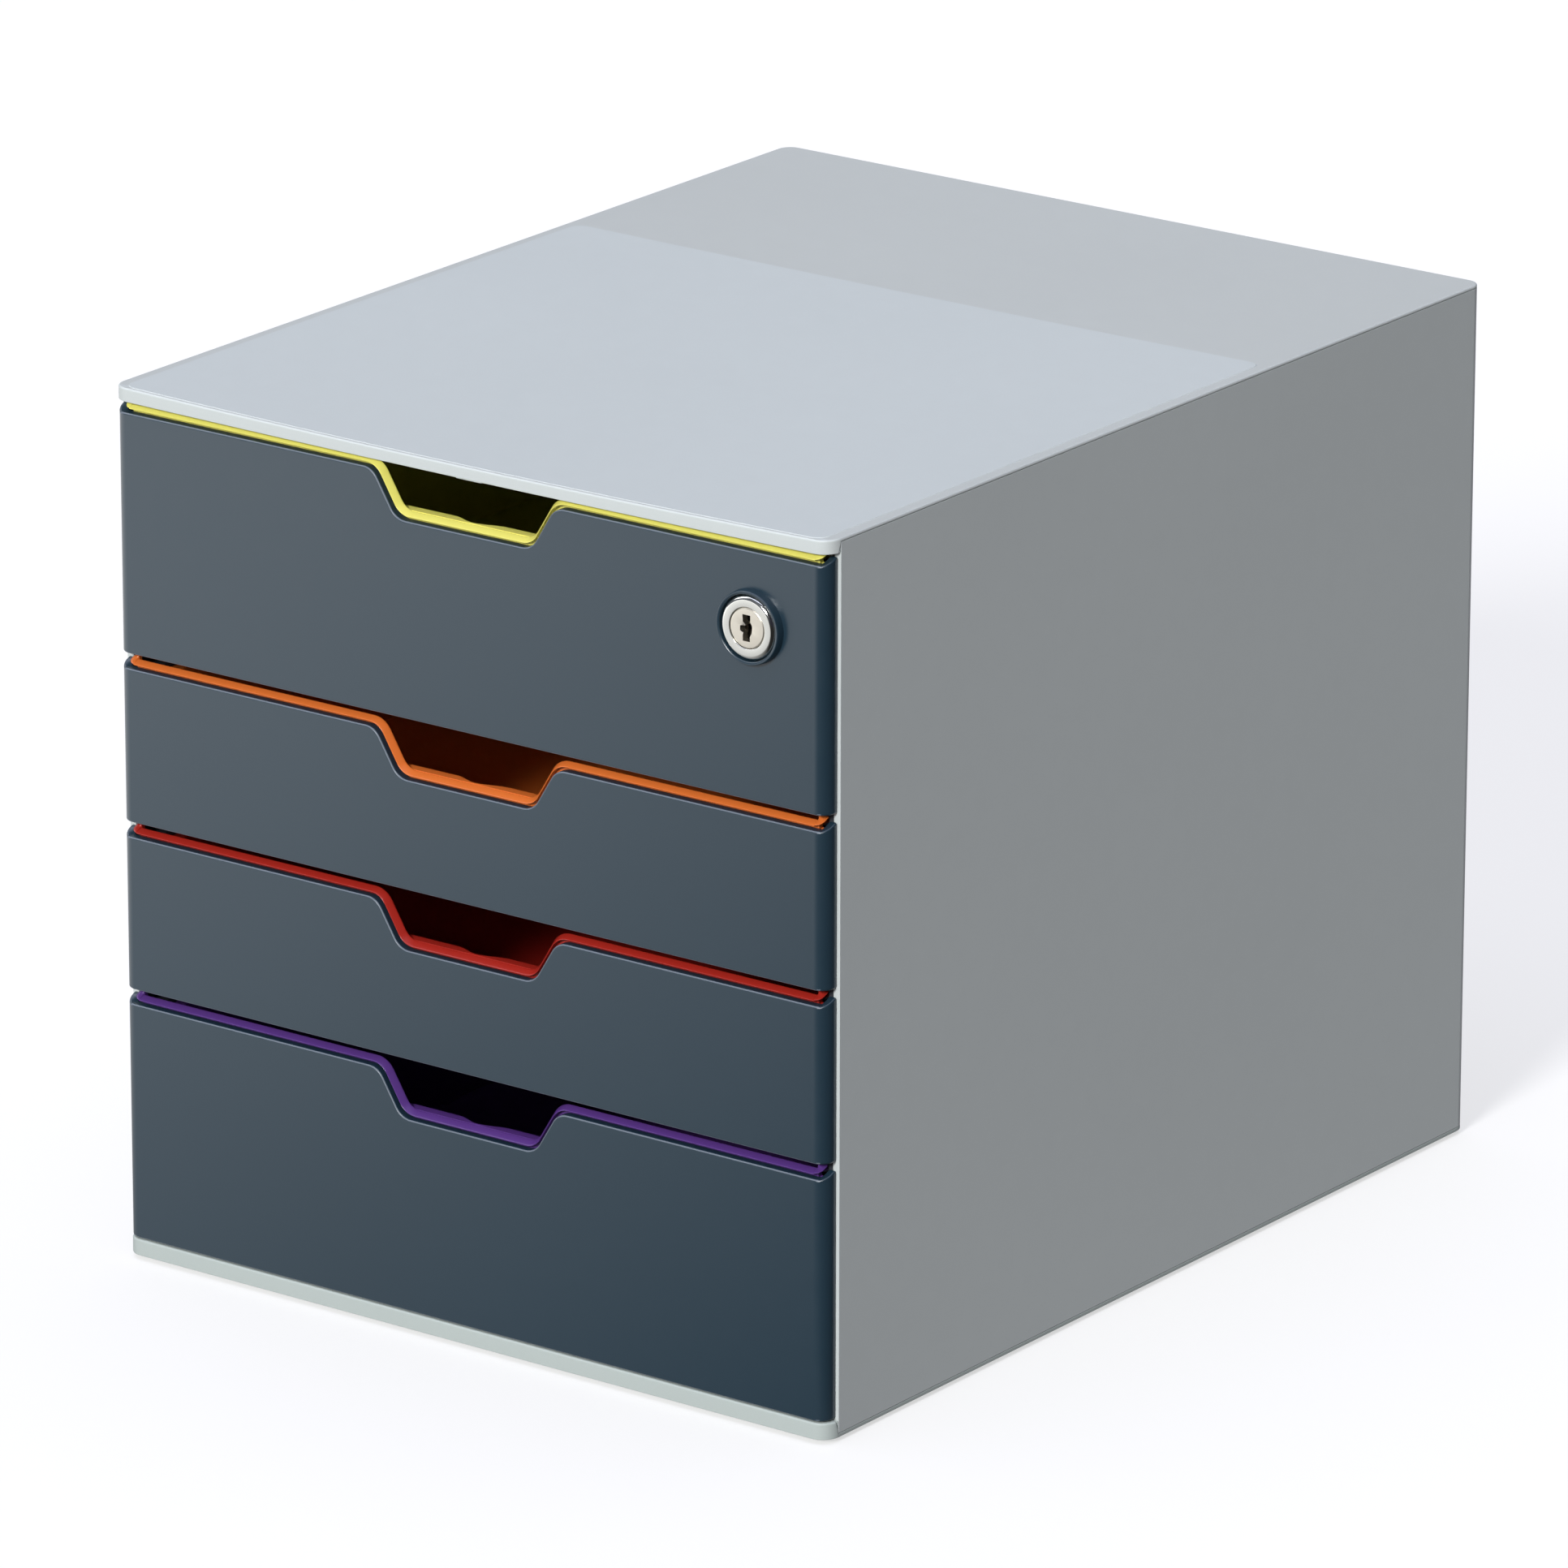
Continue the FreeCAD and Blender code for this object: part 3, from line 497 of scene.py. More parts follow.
# %% The cover moulding
crown = [(inset, PLATE_TOP - CROWN + rise) for inset, rise in quarter(CROWN)]
lip_rows = [("rear", COVER_UNDER), ("rear", COVER_LIP + 0.25), (0.5, COVER_LIP), (0.3, COVER_LIP),
            (0.09, COVER_LIP + 0.09), (0.0, COVER_LIP + 0.3)] + crown
edge_rows = [(PANEL_SEAT, COVER_UNDER), (PANEL_SEAT, COVER_UNDER + 0.2), (PANEL_SEAT, COVER_EDGE), (0.2, COVER_EDGE),
             (0.06, COVER_EDGE + 0.06), (0.0, COVER_EDGE + 0.2)] + crown
FIELD_HALF, FIELD_FRONT, FIELD_REAR, FIELD_CORNER, FIELD_EDGE = HALF_WIDTH - 3.9, 1.5, 235.2, 4.5, 0.12
field = plan_outline(FIELD_HALF, FIELD_FRONT, FIELD_REAR, FIELD_CORNER, FIELD_CORNER)
field_rings = [[(x - out[0] * inset, depth - out[1] * inset, z) for x, depth, out in field]
               for inset, z in ((-FIELD_EDGE, PLATE_TOP), (0.0, CASE_TOP - 0.05), (FIELD_EDGE, CASE_TOP))]
cover_skin = sagged(section_skin(lip_rows, edge_rows, field_rings))
RIB_OUT, RIB_IN, RIB_FRONT, RIB_REAR, RIB_DROP = 135.3, 133.8, 12, 340, 2
cover_ribs = [sagged(bar(sorted((side * RIB_OUT, side * RIB_IN)), (RIB_FRONT, RIB_REAR),
                         (COVER_UNDER - RIB_DROP, COVER_UNDER + 0.4))) for side in (-1, 1)]
NIB_ACROSS, NIB_DEPTH, NIB_DROP = (-3, 7), (0.6, 5.2), 0.42
lip_nib = sagged(bar(NIB_ACROSS, NIB_DEPTH, (COVER_LIP - NIB_DROP, COVER_LIP + 0.6), 0.2))
cover_moulding = piece_from("cover_moulding", [cover_skin, *cover_ribs, lip_nib])


def is_border(face):
    """The plain band round the raised field."""
    centre = face.center
    depth = centre.y / MM - CASE_FRONT
    in_field = abs(centre.x) / MM < FIELD_HALF and FIELD_FRONT < depth < FIELD_REAR
    return face.normal.z > 0.97 and centre.z / MM > CASE_TOP - 2.5 and not in_field


finished(cover_moulding, "top_cover", "casing", casing_plastic, border_plastic, is_border)

# %% [markdown]
# ## The base
# The base is made like the cover, the other way up: a lip stands up in front of the drawers, and the thin
# edge carries the side panels. Below it are four shallow seats for the feet and four for the screw heads,
# which are cut out once the plate is whole.

# %% The base moulding
BASE_LIP = CASE_BOTTOM + 5.6
BASE_EDGE = CASE_BOTTOM + 1.3
BASE_FLOOR = CASE_BOTTOM + 2.5
SCREW_X, SCREW_INSET, FOOT_X, FOOT_INSET = 133.0, 40.0, 112.0, 26.0
FOOT_SEAT_RADIUS, FOOT_SEAT_DEPTH = 7.1, 1.0
SCREW_HEAD_RADIUS, SCREW_HEAD_DEPTH, SHANK_RADIUS = 2.8, 1.5, 1.5
EDGE_SHARE, EDGE_DROP = 0.25, 0.17
SCREWS = [(side * SCREW_X, depth) for side in (-1, 1) for depth in (SCREW_INSET, CASE_DEPTH - SCREW_INSET)]
FEET = {f"{end}_{label}": (side * FOOT_X, depth)
        for end, depth in (("front", FOOT_INSET), ("rear", CASE_DEPTH - FOOT_INSET))
        for label, side in (("left", -1), ("right", 1))}


def disc(centre, radius, low, high, steps=40):
    """A short upright round shape, for cutting seats."""
    return plug([[(centre[0] + radius * math.cos(t), centre[1] + radius * math.sin(t), z) for t in full_turn(steps)]
                 for z in (low, high)])


shoulder = quarter(CROWN)
lower_edge = [(0.35, CASE_BOTTOM), (0.1, CASE_BOTTOM + 0.1), (0.0, CASE_BOTTOM + 0.35)]
lip_rows = lower_edge + [(inset, BASE_LIP - CROWN + rise) for inset, rise in shoulder]
lip_rows += [("rear", BASE_LIP), ("rear", BASE_LIP - 0.3), ("rear", BASE_FLOOR)]
edge_rows = lower_edge + [(inset * EDGE_SHARE, BASE_EDGE - EDGE_DROP + rise * EDGE_SHARE) for inset, rise in shoulder]
edge_rows += [(PANEL_SEAT, BASE_EDGE), (PANEL_SEAT, BASE_EDGE + 0.3), (PANEL_SEAT, BASE_FLOOR)]
base_moulding = piece_from("base_moulding", [section_skin(lip_rows, edge_rows)])
seats = [disc(spot, FOOT_SEAT_RADIUS, CASE_BOTTOM - 1, CASE_BOTTOM + FOOT_SEAT_DEPTH) for spot in FEET.values()]
seats += [disc(spot, SCREW_HEAD_RADIUS, CASE_BOTTOM - 1, CASE_BOTTOM + SCREW_HEAD_DEPTH) for spot in SCREWS]
drilled(base_moulding, seats)
drilled(base_moulding, [disc(spot, SHANK_RADIUS, CASE_BOTTOM - 1, BASE_FLOOR + 1) for spot in SCREWS])
# The base takes the darker plastic as painted shade.
finished(base_moulding, "base_plate", "casing", base_shade_plastic)

# %% [markdown]
# ## The feet
# A foot is a rubber disc pressed into its seat. Its lower edge is rounded and it has a shallow ring moulded
# into its face, so it is a turned shape: a profile of radius and height, carried round an axis.

# %% Turned shapes and the feet
def turned(profile, place, steps=48):
    """Carries (radius, along) points round an axis. place(across, up, along) puts a point where it belongs.
    A radius of zero closes the shape."""
    turns = full_turn(steps)
    rings = [[place(radius * math.cos(t), radius * math.sin(t), along) for t in turns] for radius, along in profile]
    return ring_stitch(rings)


def on_floor(centre):
    return lambda across, up, along: (centre[0] + across, centre[1] + up, along)


for corner, spot in FEET.items():
    profile = [(0.0, 0.5), (3.6, 0.5), (4.0, 0.1), (4.4, 0.0), (6.2, 0.0), (6.7, 0.15), (7.0, 0.6),
               (7.0, 2.3), (6.8, 2.5), (0.0, 2.5)]
    foot = piece_from("foot_pad_" + corner, [turned(profile, on_floor(spot))])
    finished(foot, "foot_" + corner, "casing", foot_rubber)

# %% [markdown]
# ## Side and rear panels
# Each side panel is a flat wall that turns the rear corner and ends behind the rear panel. It is drawn as
# its outline in plan and pulled up to its height. A bevel modifier then softens the cut ends, and these
# soft ends are what shows as a thin light line under the cover and above the base.

# %% The panels
PANEL_LOW = BASE_EDGE + 0.1
PANEL_HIGH = COVER_EDGE - 0.1
PANEL_FRONT, PANEL_WALL, PANEL_RETURN, PANEL_SOFTNESS = 6.0, 2.5, 12.0, 0.25


def bend(centre, radius, start, end, steps=7):
    turns = [math.radians(start + (end - start) * step / steps) for step in range(steps + 1)]
    return [(centre[0] + radius * math.cos(t), centre[1] + radius * math.sin(t)) for t in turns]


def softened(piece):
    bevel = piece.modifiers.new("soft", "BEVEL")
    bevel.width, bevel.segments, bevel.limit_method = PANEL_SOFTNESS * MM, 2, "ANGLE"
    bevel.angle_limit = math.radians(50)
    settle(piece)


for side, label in ((-1, "left"), (1, "right")):
    corner = (HALF_WIDTH - REAR_CORNER, CASE_DEPTH - REAR_CORNER)
    plan = [(HALF_WIDTH, PANEL_FRONT)] + bend(corner, REAR_CORNER, 0, 90) + [(HALF_WIDTH - PANEL_RETURN, CASE_DEPTH)]
    plan += [(HALF_WIDTH - PANEL_RETURN, CASE_DEPTH - PANEL_WALL)]
    plan += bend(corner, REAR_CORNER - PANEL_WALL, 90, 0) + [(HALF_WIDTH - PANEL_WALL, PANEL_FRONT)]
    wall = plug([[(side * x, depth, z) for x, depth in plan] for z in (PANEL_LOW, PANEL_HIGH)])
    panel = piece_from("side_wall_" + label, [wall])
    softened(panel)
    finished(panel, "side_panel_" + label, "casing", casing_plastic)

SHEET_HALF, SHEET_FRONT = 127.9, CASE_DEPTH - 2.6
TONGUE_HALF, TONGUE_FRONT, TONGUE_REAR = 131.8, 351.9, 353.5
tongue = bar((-TONGUE_HALF, TONGUE_HALF), (TONGUE_FRONT, TONGUE_REAR), (BASE_FLOOR + 0.1, COVER_UNDER - 0.1), 0.1)
sheet = bar((-SHEET_HALF, SHEET_HALF), (SHEET_FRONT, CASE_DEPTH - 0.2), (PANEL_LOW, PANEL_HIGH), 0.3)
rear_wall = piece_from("rear_wall", [tongue, sheet])
finished(rear_wall, "rear_panel", "casing", casing_plastic)

# %% [markdown]
# ## Drawer fronts
# A drawer front is a thin dark shell with a finger cut-out in its upper edge, small rounded edges all
# round and a short return at each end. Its upper edge is drawn once as a line of points that can be moved
# outward by any amount, with the same points each time. Rows of these lines make the rounded edge, and
# the same line with other offsets makes the coloured rim of the tray behind it, so the two always run
# parallel.

# %% The line of the upper edge
CUT_TOP, CUT_LEDGE, CUT_DROP, CUT_ROUND = 35.6, 26.4, 15.0, 6.4
OUTER_GAIN, INNER_LOSS, INNER_EXTRA = 0.4, 0.3, 0.3
SLOPE = math.atan2(CUT_DROP, CUT_TOP - CUT_LEDGE)


def upper_edge(end, high, offset, steps=7):
    """Points (across, height) from left to right along the upper edge, moved outward by the offset."""
    shift = offset * math.tan(SLOPE / 2)
    top, ledge = high + offset, high + offset - CUT_DROP
    outer, inner = CUT_ROUND + OUTER_GAIN * offset, CUT_ROUND + INNER_EXTRA - INNER_LOSS * offset
    turns = [SLOPE * step / steps for step in range(steps + 1)]
    outer_x = -(CUT_TOP - shift) - outer * math.tan(SLOPE / 2)
    inner_x = -(CUT_LEDGE - shift) + inner * math.tan(SLOPE / 2)
    left = [(-end + (outer_x + end) * run / 5, top) for run in range(5)]
    left += [(outer_x + outer * math.sin(t), top - outer + outer * math.cos(t)) for t in turns]
    left += [(inner_x - inner * math.sin(t), ledge + inner - inner * math.cos(t)) for t in reversed(turns)]
    middle = [(inner_x * (1 - run / 3), ledge) for run in (1, 2, 3)]
    right = [(-x, z) for x, z in reversed(left + middle[:2])]
    return left + middle + right


EAR_START, EAR_SLOPE, EAR_EASE, EAR_FADE = 0.5, 0.55, 0.25, 0.05


def ear(depth):
    """How far the upper edge of a front has risen where its end turns back to this depth."""
    past = max(depth - EAR_START, 0)
    return EAR_SLOPE * past * past / (past + EAR_EASE) / (1 + EAR_FADE * past)


def wrapped(half, radius, face, rear, line, inset, end_inset=None, rises=True, steps=12):
    """A row of points along a front: left return, left corner, the given line, right corner, right return.
    The inset may change round the corners to the end inset."""
    turn = max(radius, inset)
    last = inset if end_inset is None else end_inset
    height = line[-1][1]
    right = []
    for step in range(1, steps + 1):
        angle = math.radians(90 * step / steps)
        reach = max(radius - inset - (last - inset) * step / steps, 0)
        along = face + radius * (1 - math.cos(angle))
        lift = ear(along) if rises else 0
        right.append((half - turn + reach * math.sin(angle), face + turn - reach * math.cos(angle), height + lift))
    for share in (0.5, 1):
        depth = face + turn + (rear - face - turn) * share
        lift = ear(face + radius + (rear - face - radius) * share) if rises else 0
        right.append((half - last, depth, height + lift))
    left = [(-x, depth, z) for x, depth, z in reversed(right)]
    limit = half - turn
    run = [(min(max(x, -limit), limit), face + inset, z) for x, z in line]
    return left + run + right


print("points along an upper edge:", len(upper_edge(134.4, 100, 0)))

# %% The front shells
FRONT_HALF = HALF_WIDTH - 1.1
FRONT_WALL, FRONT_REAR, FRONT_PLAN, FRONT_FLOOR, FRONT_ROUND = 2.2, 5.5, 4.5, 1.6, 0.65
LEDGE_DEPTH = 3.3
LOCK_HOLE = 8.1
HOOK_PLACES = (-122, -62, 62, 122)
HOOK_HALF, HOOK_LOW, HOOK_HIGH, HOOK_BARB = 4.0, 14.0, 15.6, 1.0
HOOK_FOOT, HOOK_TIP, HOOK_REAR = 2.1, 4.1, 5.3


def front_span(number):
    """The lowest and highest level of a drawer's front."""
    low, high = extent(f"drawer_front_{number}")
    return low[2], high[2]


def level_line(line, height):
    return [(x, height) for x, z in line]


def front_shell(low, high):
    end = FRONT_HALF - FRONT_PLAN
    base = upper_edge(end, high, 0)

    def top_row(inset, offset):
        line = upper_edge(end, high, offset)
        return wrapped(FRONT_HALF, FRONT_PLAN, 0, FRONT_REAR, line, inset, min(inset, FRONT_WALL))

    def low_row(inset, height):
        return wrapped(FRONT_HALF, FRONT_PLAN, 0, FRONT_REAR, level_line(base, height), inset, rises=False)

    floor = low_row(FRONT_WALL, low + FRONT_FLOOR)
    rows = [top_row(LEDGE_DEPTH, -0.15), top_row(LEDGE_DEPTH, -1.5), top_row(FRONT_WALL, -2.0), floor]
    rows += [[(x, FRONT_REAR, z) for x, depth, z in floor]]
    rows += [[(x, FRONT_REAR, low) for x, depth, z in floor]]
    rows += [low_row(inset, low + FRONT_ROUND - rise) for inset, rise in reversed(quarter(FRONT_ROUND))]
    rows += [top_row(inset, rise - FRONT_ROUND) for inset, rise in quarter(FRONT_ROUND)]
    rows += [top_row(LEDGE_DEPTH - 0.15, 0)]
    return stitch(rows)


def hooks(low):
    """Four small hooks on the back of a front, which hold it in windows of its tray."""
    made = []
    for x in HOOK_PLACES:
        across = (x - HOOK_HALF, x + HOOK_HALF)
        made.append(bar(across, (HOOK_FOOT, HOOK_REAR), (low + HOOK_LOW, low + HOOK_HIGH), 0.15))
        made.append(bar(across, (HOOK_TIP, HOOK_REAR), (low + HOOK_LOW, low + HOOK_HIGH + HOOK_BARB), 0.2))
    return made


def facing(across, up, along):
    """Puts a turned shape on the lock's axis; along is its depth."""
    return LOCK_X + across, along, LOCK_Z + up


def lock_hole(front, rear):
    """The shape that cuts the lock's hole."""
    return turned([(0.0, front), (LOCK_HOLE, front), (LOCK_HOLE, rear), (0.0, rear)], facing, 64)


lock_ring = turned([(10.6, 0.6), (10.6, -2.35), (10.68, -2.5), (10.85, -2.62), (11.15, -2.72), (11.35, -2.75),
                    (11.52, -2.7), (11.66, -2.5), (11.73, -2.2), (11.78, -1.8), (11.95, 0.0), (11.95, 0.6),
                    (10.6, 0.6)], facing, 96)


def is_highlight_edge(face):
    """The small rounded edges along the top and bottom of a front's face, which take the lighter plastic as a painted
    highlight.
    """
    depth = face.center.y / MM - CASE_FRONT
    return -0.2 < depth < 0.6 and -0.93 < face.normal.y < -0.3 and abs(face.normal.z) > 0.1


for number in (1, 2, 3, 4):
    low, high = front_span(number)
    front = piece_from(f"front_moulding_{number}", [front_shell(low, high)])
    if number == 1:
        drilled(front, [lock_hole(-1, 3.2)])
        joined(front, [lock_ring])
    joined(front, hooks(low))
    # The rounded edges take the lighter plastic as a painted highlight.
    finished(front, f"drawer_front_{number}", f"drawer_{number}", front_plastic, edge_highlight_plastic,
             is_highlight_edge)

# %% [markdown]
# ## Trays
# A tray is a deep coloured box. Its front wall ends in a rim that reaches over the dark front and follows
# the finger cut-out, and this rim is nearly all that shows of it. The rim's section is a small nose and a
# long plain slope that rises to the back. Under the nose lies the dark top edge of the front. Behind the
# cut-out is a level shelf with a hollow in its rear edge, where the fingers pull.

# %% Rim and body
RIM_HALF = FRONT_HALF - 2.8
RIM_FACE, RIM_PLAN, RIM_REAR = 1.2, 2.6, 5.4
RIM_SECTION = [(1.1, -2.7), (2.22, -2.2), (2.22, 1.0), (0.22, 1.04), (0.1, 1.08), (0.05, 1.18), (0.12, 1.28),
               (0.4, 1.45), (0.7, 1.62), (1.4, 1.99), (2.1, 2.33), (2.38, 2.42), (2.58, 2.41), (2.7, 2.28)]
TRAY_HALF, TRAY_FRONT, TRAY_WALL, TRAY_FLOOR = 129.0, 2.6, 1.8, 1.8
TRAY_ROUND, TRAY_FOOT, TRAY_DROP = 6.0, 2.0, 3.0
TRAY_REAR = extent("drawer_tray_2")[1][1] - CASE_FRONT
HOOK_ROOM = 0.2
THROUGH_RIM = (1.3, 4.9)


def rim_skin(bottom, high):
    end = RIM_HALF - RIM_PLAN
    base = upper_edge(end, high, 0)

    def low_row(inset, height):
        return wrapped(RIM_HALF, RIM_PLAN, RIM_FACE, RIM_REAR, level_line(base, height), inset, rises=False)

    rows = [low_row(RIM_SECTION[-1][0], bottom), low_row(RIM_SECTION[0][0], bottom)]
    for inset, offset in RIM_SECTION:
        line = upper_edge(end, high, offset)
        rows.append(wrapped(RIM_HALF, RIM_PLAN, RIM_FACE, RIM_REAR, line, inset))
    return stitch(rows)


def tray_row(inset, height, steps=8):
    """A row round the tray in plan: left side from front to rear, the rear wall, and the right side back."""
    turn, reach = max(TRAY_ROUND, inset), max(TRAY_ROUND - inset, 0)
    right = [(TRAY_HALF - inset, TRAY_FRONT), (TRAY_HALF - inset, TRAY_REAR - turn)]
    for step in range(1, steps + 1):
        angle = math.radians(90 * step / steps)
        right.append((TRAY_HALF - turn + reach * math.cos(angle), TRAY_REAR - turn + reach * math.sin(angle)))
    left = [(-x, depth) for x, depth in right]
    return [(x, depth, height) for x, depth in left + right[::-1]]


def tray_body(bottom, top):
    rows = [tray_row(TRAY_FOOT, bottom)]
    for inset in (1.2, 0.6, 0.15):
        rise = TRAY_FOOT - TRAY_FOOT * math.cos(math.asin(1 - inset / TRAY_FOOT))
        rows.append(tray_row(inset, bottom + rise))
    rows += [tray_row(0, bottom + TRAY_FOOT), tray_row(0, top - 0.5), tray_row(0.15, top - 0.15), tray_row(0.5, top)]
    rows += [tray_row(TRAY_WALL - 0.5, top), tray_row(TRAY_WALL - 0.15, top - 0.15), tray_row(TRAY_WALL, top - 0.5)]
    inside = bottom + TRAY_FLOOR
    rows += [tray_row(TRAY_WALL, inside + 1.2), tray_row(TRAY_WALL + 0.35, inside + 0.35),
             tray_row(TRAY_WALL + 1.2, inside)]
    points, faces = stitch(rows, closed=False)
    width = len(rows[0])
    return points, faces + columns(0, width) + columns((len(rows) - 1) * width, width)


print("points in a rim:", len(rim_skin(0, 50)[0]))


# %% Shelf and fittings
def eased(value, start, end):
    share = min(max((value - start) / (end - start), 0), 1)
    return share * share * (3 - 2 * share)


SHELF_HALF, SHELF_RISE, SHELF_DROP, SHELF_ROUND = 28.6, 2.62, 1.5, 1.2
SHELF_FRONT, SHELF_FOOT, SHELF_REAR = 3.75, 4.4, 7.2
HOLLOW_START, HOLLOW_DEEPEST, HOLLOW_END, HOLLOW_DEPTH = -8.4, 0.4, 12.4, 2.5


def grip_shelf(ledge, steps=64):
    """The level shelf behind the cut-out, with the hollow in its rear edge a little right of the middle."""
    top, foot = ledge + SHELF_RISE, ledge - SHELF_DROP
    sections = []
    for step in range(steps + 1):
        x = -SHELF_HALF + 2 * SHELF_HALF * step / steps
        edge = SHELF_HALF - abs(x)
        hollow = eased(x, HOLLOW_START, HOLLOW_DEEPEST) * (1 - eased(x, HOLLOW_DEEPEST, HOLLOW_END))
        rear = SHELF_REAR - HOLLOW_DEPTH * hollow - SHELF_ROUND * (1 - eased(edge, 0, SHELF_ROUND))
        section = [(SHELF_FRONT, foot), (SHELF_FRONT, top), (rear - 0.6, top + 0.16), (rear - 0.15, top + 0.06),
                   (rear, top - 0.25), (rear - 0.2, top - 1.2), (SHELF_FOOT, foot)]
        sections.append([(x, depth, z) for depth, z in section])
    return stitch(list(zip(*sections)))


FLANGE_IN, FLANGE_OUT, FLANGE_FRONT, FLANGE_DEEP, HEEL_OUT = 128.1, 133.6, 6.2, 2, 135.2
HEEL_FRONT, HEEL_REAR = TRAY_REAR - 14, TRAY_REAR - 3
LOCK_ROOM_LEFT, LOCK_ROOM_REAR, LOCK_ROOM_WALL = LOCK_X - 33.6, 25.3, 1.6


def tray_fittings(number, low, high):
    """Flanges that run in the rails, the heels that meet the stops, and the lock compartment of the top tray."""
    flange_top = high - TRAY_DROP
    made = []
    for side in (-1, 1):
        slim, heel = sorted((side * FLANGE_IN, side * FLANGE_OUT)), sorted((side * FLANGE_IN, side * HEEL_OUT))
        made.append(bar(slim, (FLANGE_FRONT, HEEL_FRONT - 0.2), (flange_top - FLANGE_DEEP, flange_top - 0.02), 0.3))
        made.append(bar(heel, (HEEL_FRONT, HEEL_REAR), (flange_top - FLANGE_DEEP, flange_top - 0.01), 0.4))
    if number == 1:
        side_wall = (LOCK_ROOM_LEFT, LOCK_ROOM_LEFT + LOCK_ROOM_WALL)
        made.append(bar(side_wall, (3.0, LOCK_ROOM_REAR + LOCK_ROOM_WALL), (low + 3, flange_top - 0.03), 0.2))
        made.append(bar((LOCK_ROOM_LEFT + 0.4, FLANGE_IN), (LOCK_ROOM_REAR, LOCK_ROOM_REAR + LOCK_ROOM_WALL - 0.04),
                        (low + 3.1, flange_top - 0.06), 0.2))
    return made


print("a tray reaches back to", round(TRAY_REAR, 2), "mm")

# %% Making the trays
for number, (colour, tray_plastic) in enumerate(tray_plastics.items(), 1):
    low, high = front_span(number)
    bottom = extent(f"drawer_tray_{number}")[0][2]
    tray = piece_from(f"tray_moulding_{number}", [rim_skin(bottom, high)])
    windows = [bar((x - HOOK_HALF - HOOK_ROOM, x + HOOK_HALF + HOOK_ROOM), THROUGH_RIM,
                   (low + HOOK_LOW - HOOK_ROOM, low + HOOK_HIGH + HOOK_BARB + HOOK_ROOM), 0) for x in HOOK_PLACES]
    drilled(tray, windows)
    if number == 1:
        drilled(tray, [lock_hole(*THROUGH_RIM)])
    joined(tray, [tray_body(bottom, high - TRAY_DROP), grip_shelf(high - CUT_DROP), *tray_fittings(number, low, high)])
    finished(tray, f"drawer_tray_{number}", f"drawer_{number}", tray_plastic)

# %% [markdown]
# ## The lock
# A cam lock is a threaded collar with a bright flange, held by a nut from behind, and a barrel that turns
# in it. The collar and barrel are turned shapes. The thread is a true spiral: the radius of each point
# depends on its depth and on its turn round the axis, and two flats are cut on its sides by limiting how
# far across a point may reach. The keyway is cut into the barrel afterwards.

# %% Collar
collar_face = turned([(6.6, 2.0), (6.6, -2.45), (6.68, -2.6), (6.8, -2.66), (8.75, -2.68), (9.1, -2.6),
                      (9.5, -2.4), (9.85, -2.1), (10.12, -1.75), (10.3, -1.35), (10.36, -1.0), (10.36, 0.0),
                      (7.0, 0.0), (7.0, 2.0), (6.6, 2.0)], facing, 96)
THREAD_START, THREAD_END, THREAD_ROOT, THREAD_HEIGHT, FLAT_HALF, COLLAR_BORE = 2.0, 0.6, 7.55, 0.42, 7.2, 6.5


def threaded(front, rear, pitch=1.0, steps=64, rows_per_pitch=6):
    """A tube whose outside is a spiral thread with two flats."""
    rows = int((rear - front) / pitch * rows_per_pitch)
    rings = []
    for row in range(rows + 1):
        along = front + (rear - front) * row / rows
        ring = []
        for step, turn in enumerate(full_turn(steps)):
            wave = abs(((along / pitch + step / steps) % 1) * 2 - 1)
            cut = THREAD_START < along < rear - THREAD_END
            radius = THREAD_ROOT + THREAD_HEIGHT * wave if cut else THREAD_ROOT
            across, up = radius * math.cos(turn), radius * math.sin(turn)
            ring.append(facing(min(max(across, -FLAT_HALF), FLAT_HALF), up, along))
        rings.append(ring)
    bore = [[facing(COLLAR_BORE * math.cos(t), COLLAR_BORE * math.sin(t), along) for t in full_turn(steps)]
            for along in (rear, front)]
    return ring_stitch(rings + bore + [rings[0]])


collar = piece_from("lock_collar", [collar_face, threaded(0.0, 18.0)])
finished(collar, "lock_housing", "drawer_1", chrome)

# %% Barrel
barrel = piece_from("lock_barrel", [turned([(0.0, -2.55), (6.0, -2.55), (6.3, -2.48), (6.45, -2.3), (6.5, -2.1),
                                            (6.5, 0.0), (6.4, 0.4), (6.4, 18.0), (0.0, 18.0)], facing, 96)])
KEY_LEFT = [(-1.7, 4.2), (-1.6, 1.9), (-0.9, 1.0), (-1.0, 0.6), (-2.6, 0.5), (-2.6, -1.1), (-1.4, -1.6),
            (-1.6, -2.4), (-1.6, -4.2)]
KEY_RIGHT = [(1.1, -4.2), (1.1, -2.6), (1.75, -1.4), (1.75, 0.9), (1.25, 1.9), (1.25, 4.2)]
KEY_REAR = 12.4
TAIL_HALF, TAIL_FRONT, TAIL_REAR = 3.5, 17, 20.1
keyway = plug([[facing(x, z, along) for x, z in KEY_LEFT + KEY_RIGHT] for along in (-4, KEY_REAR)])
dish = turned([(0.0, -3.5), (3.3, -3.5), (2.35, -2.55), (1.6, -2.2), (0.0, -2.0)], facing, 48)
drilled(barrel, [keyway])
drilled(barrel, [dish])
joined(barrel, [bar((LOCK_X - TAIL_HALF, LOCK_X + TAIL_HALF), (TAIL_FRONT, TAIL_REAR),
                    (LOCK_Z - TAIL_HALF, LOCK_Z + TAIL_HALF), 0.2)])
finished(barrel, "lock_plug", "lock_core", nickel)
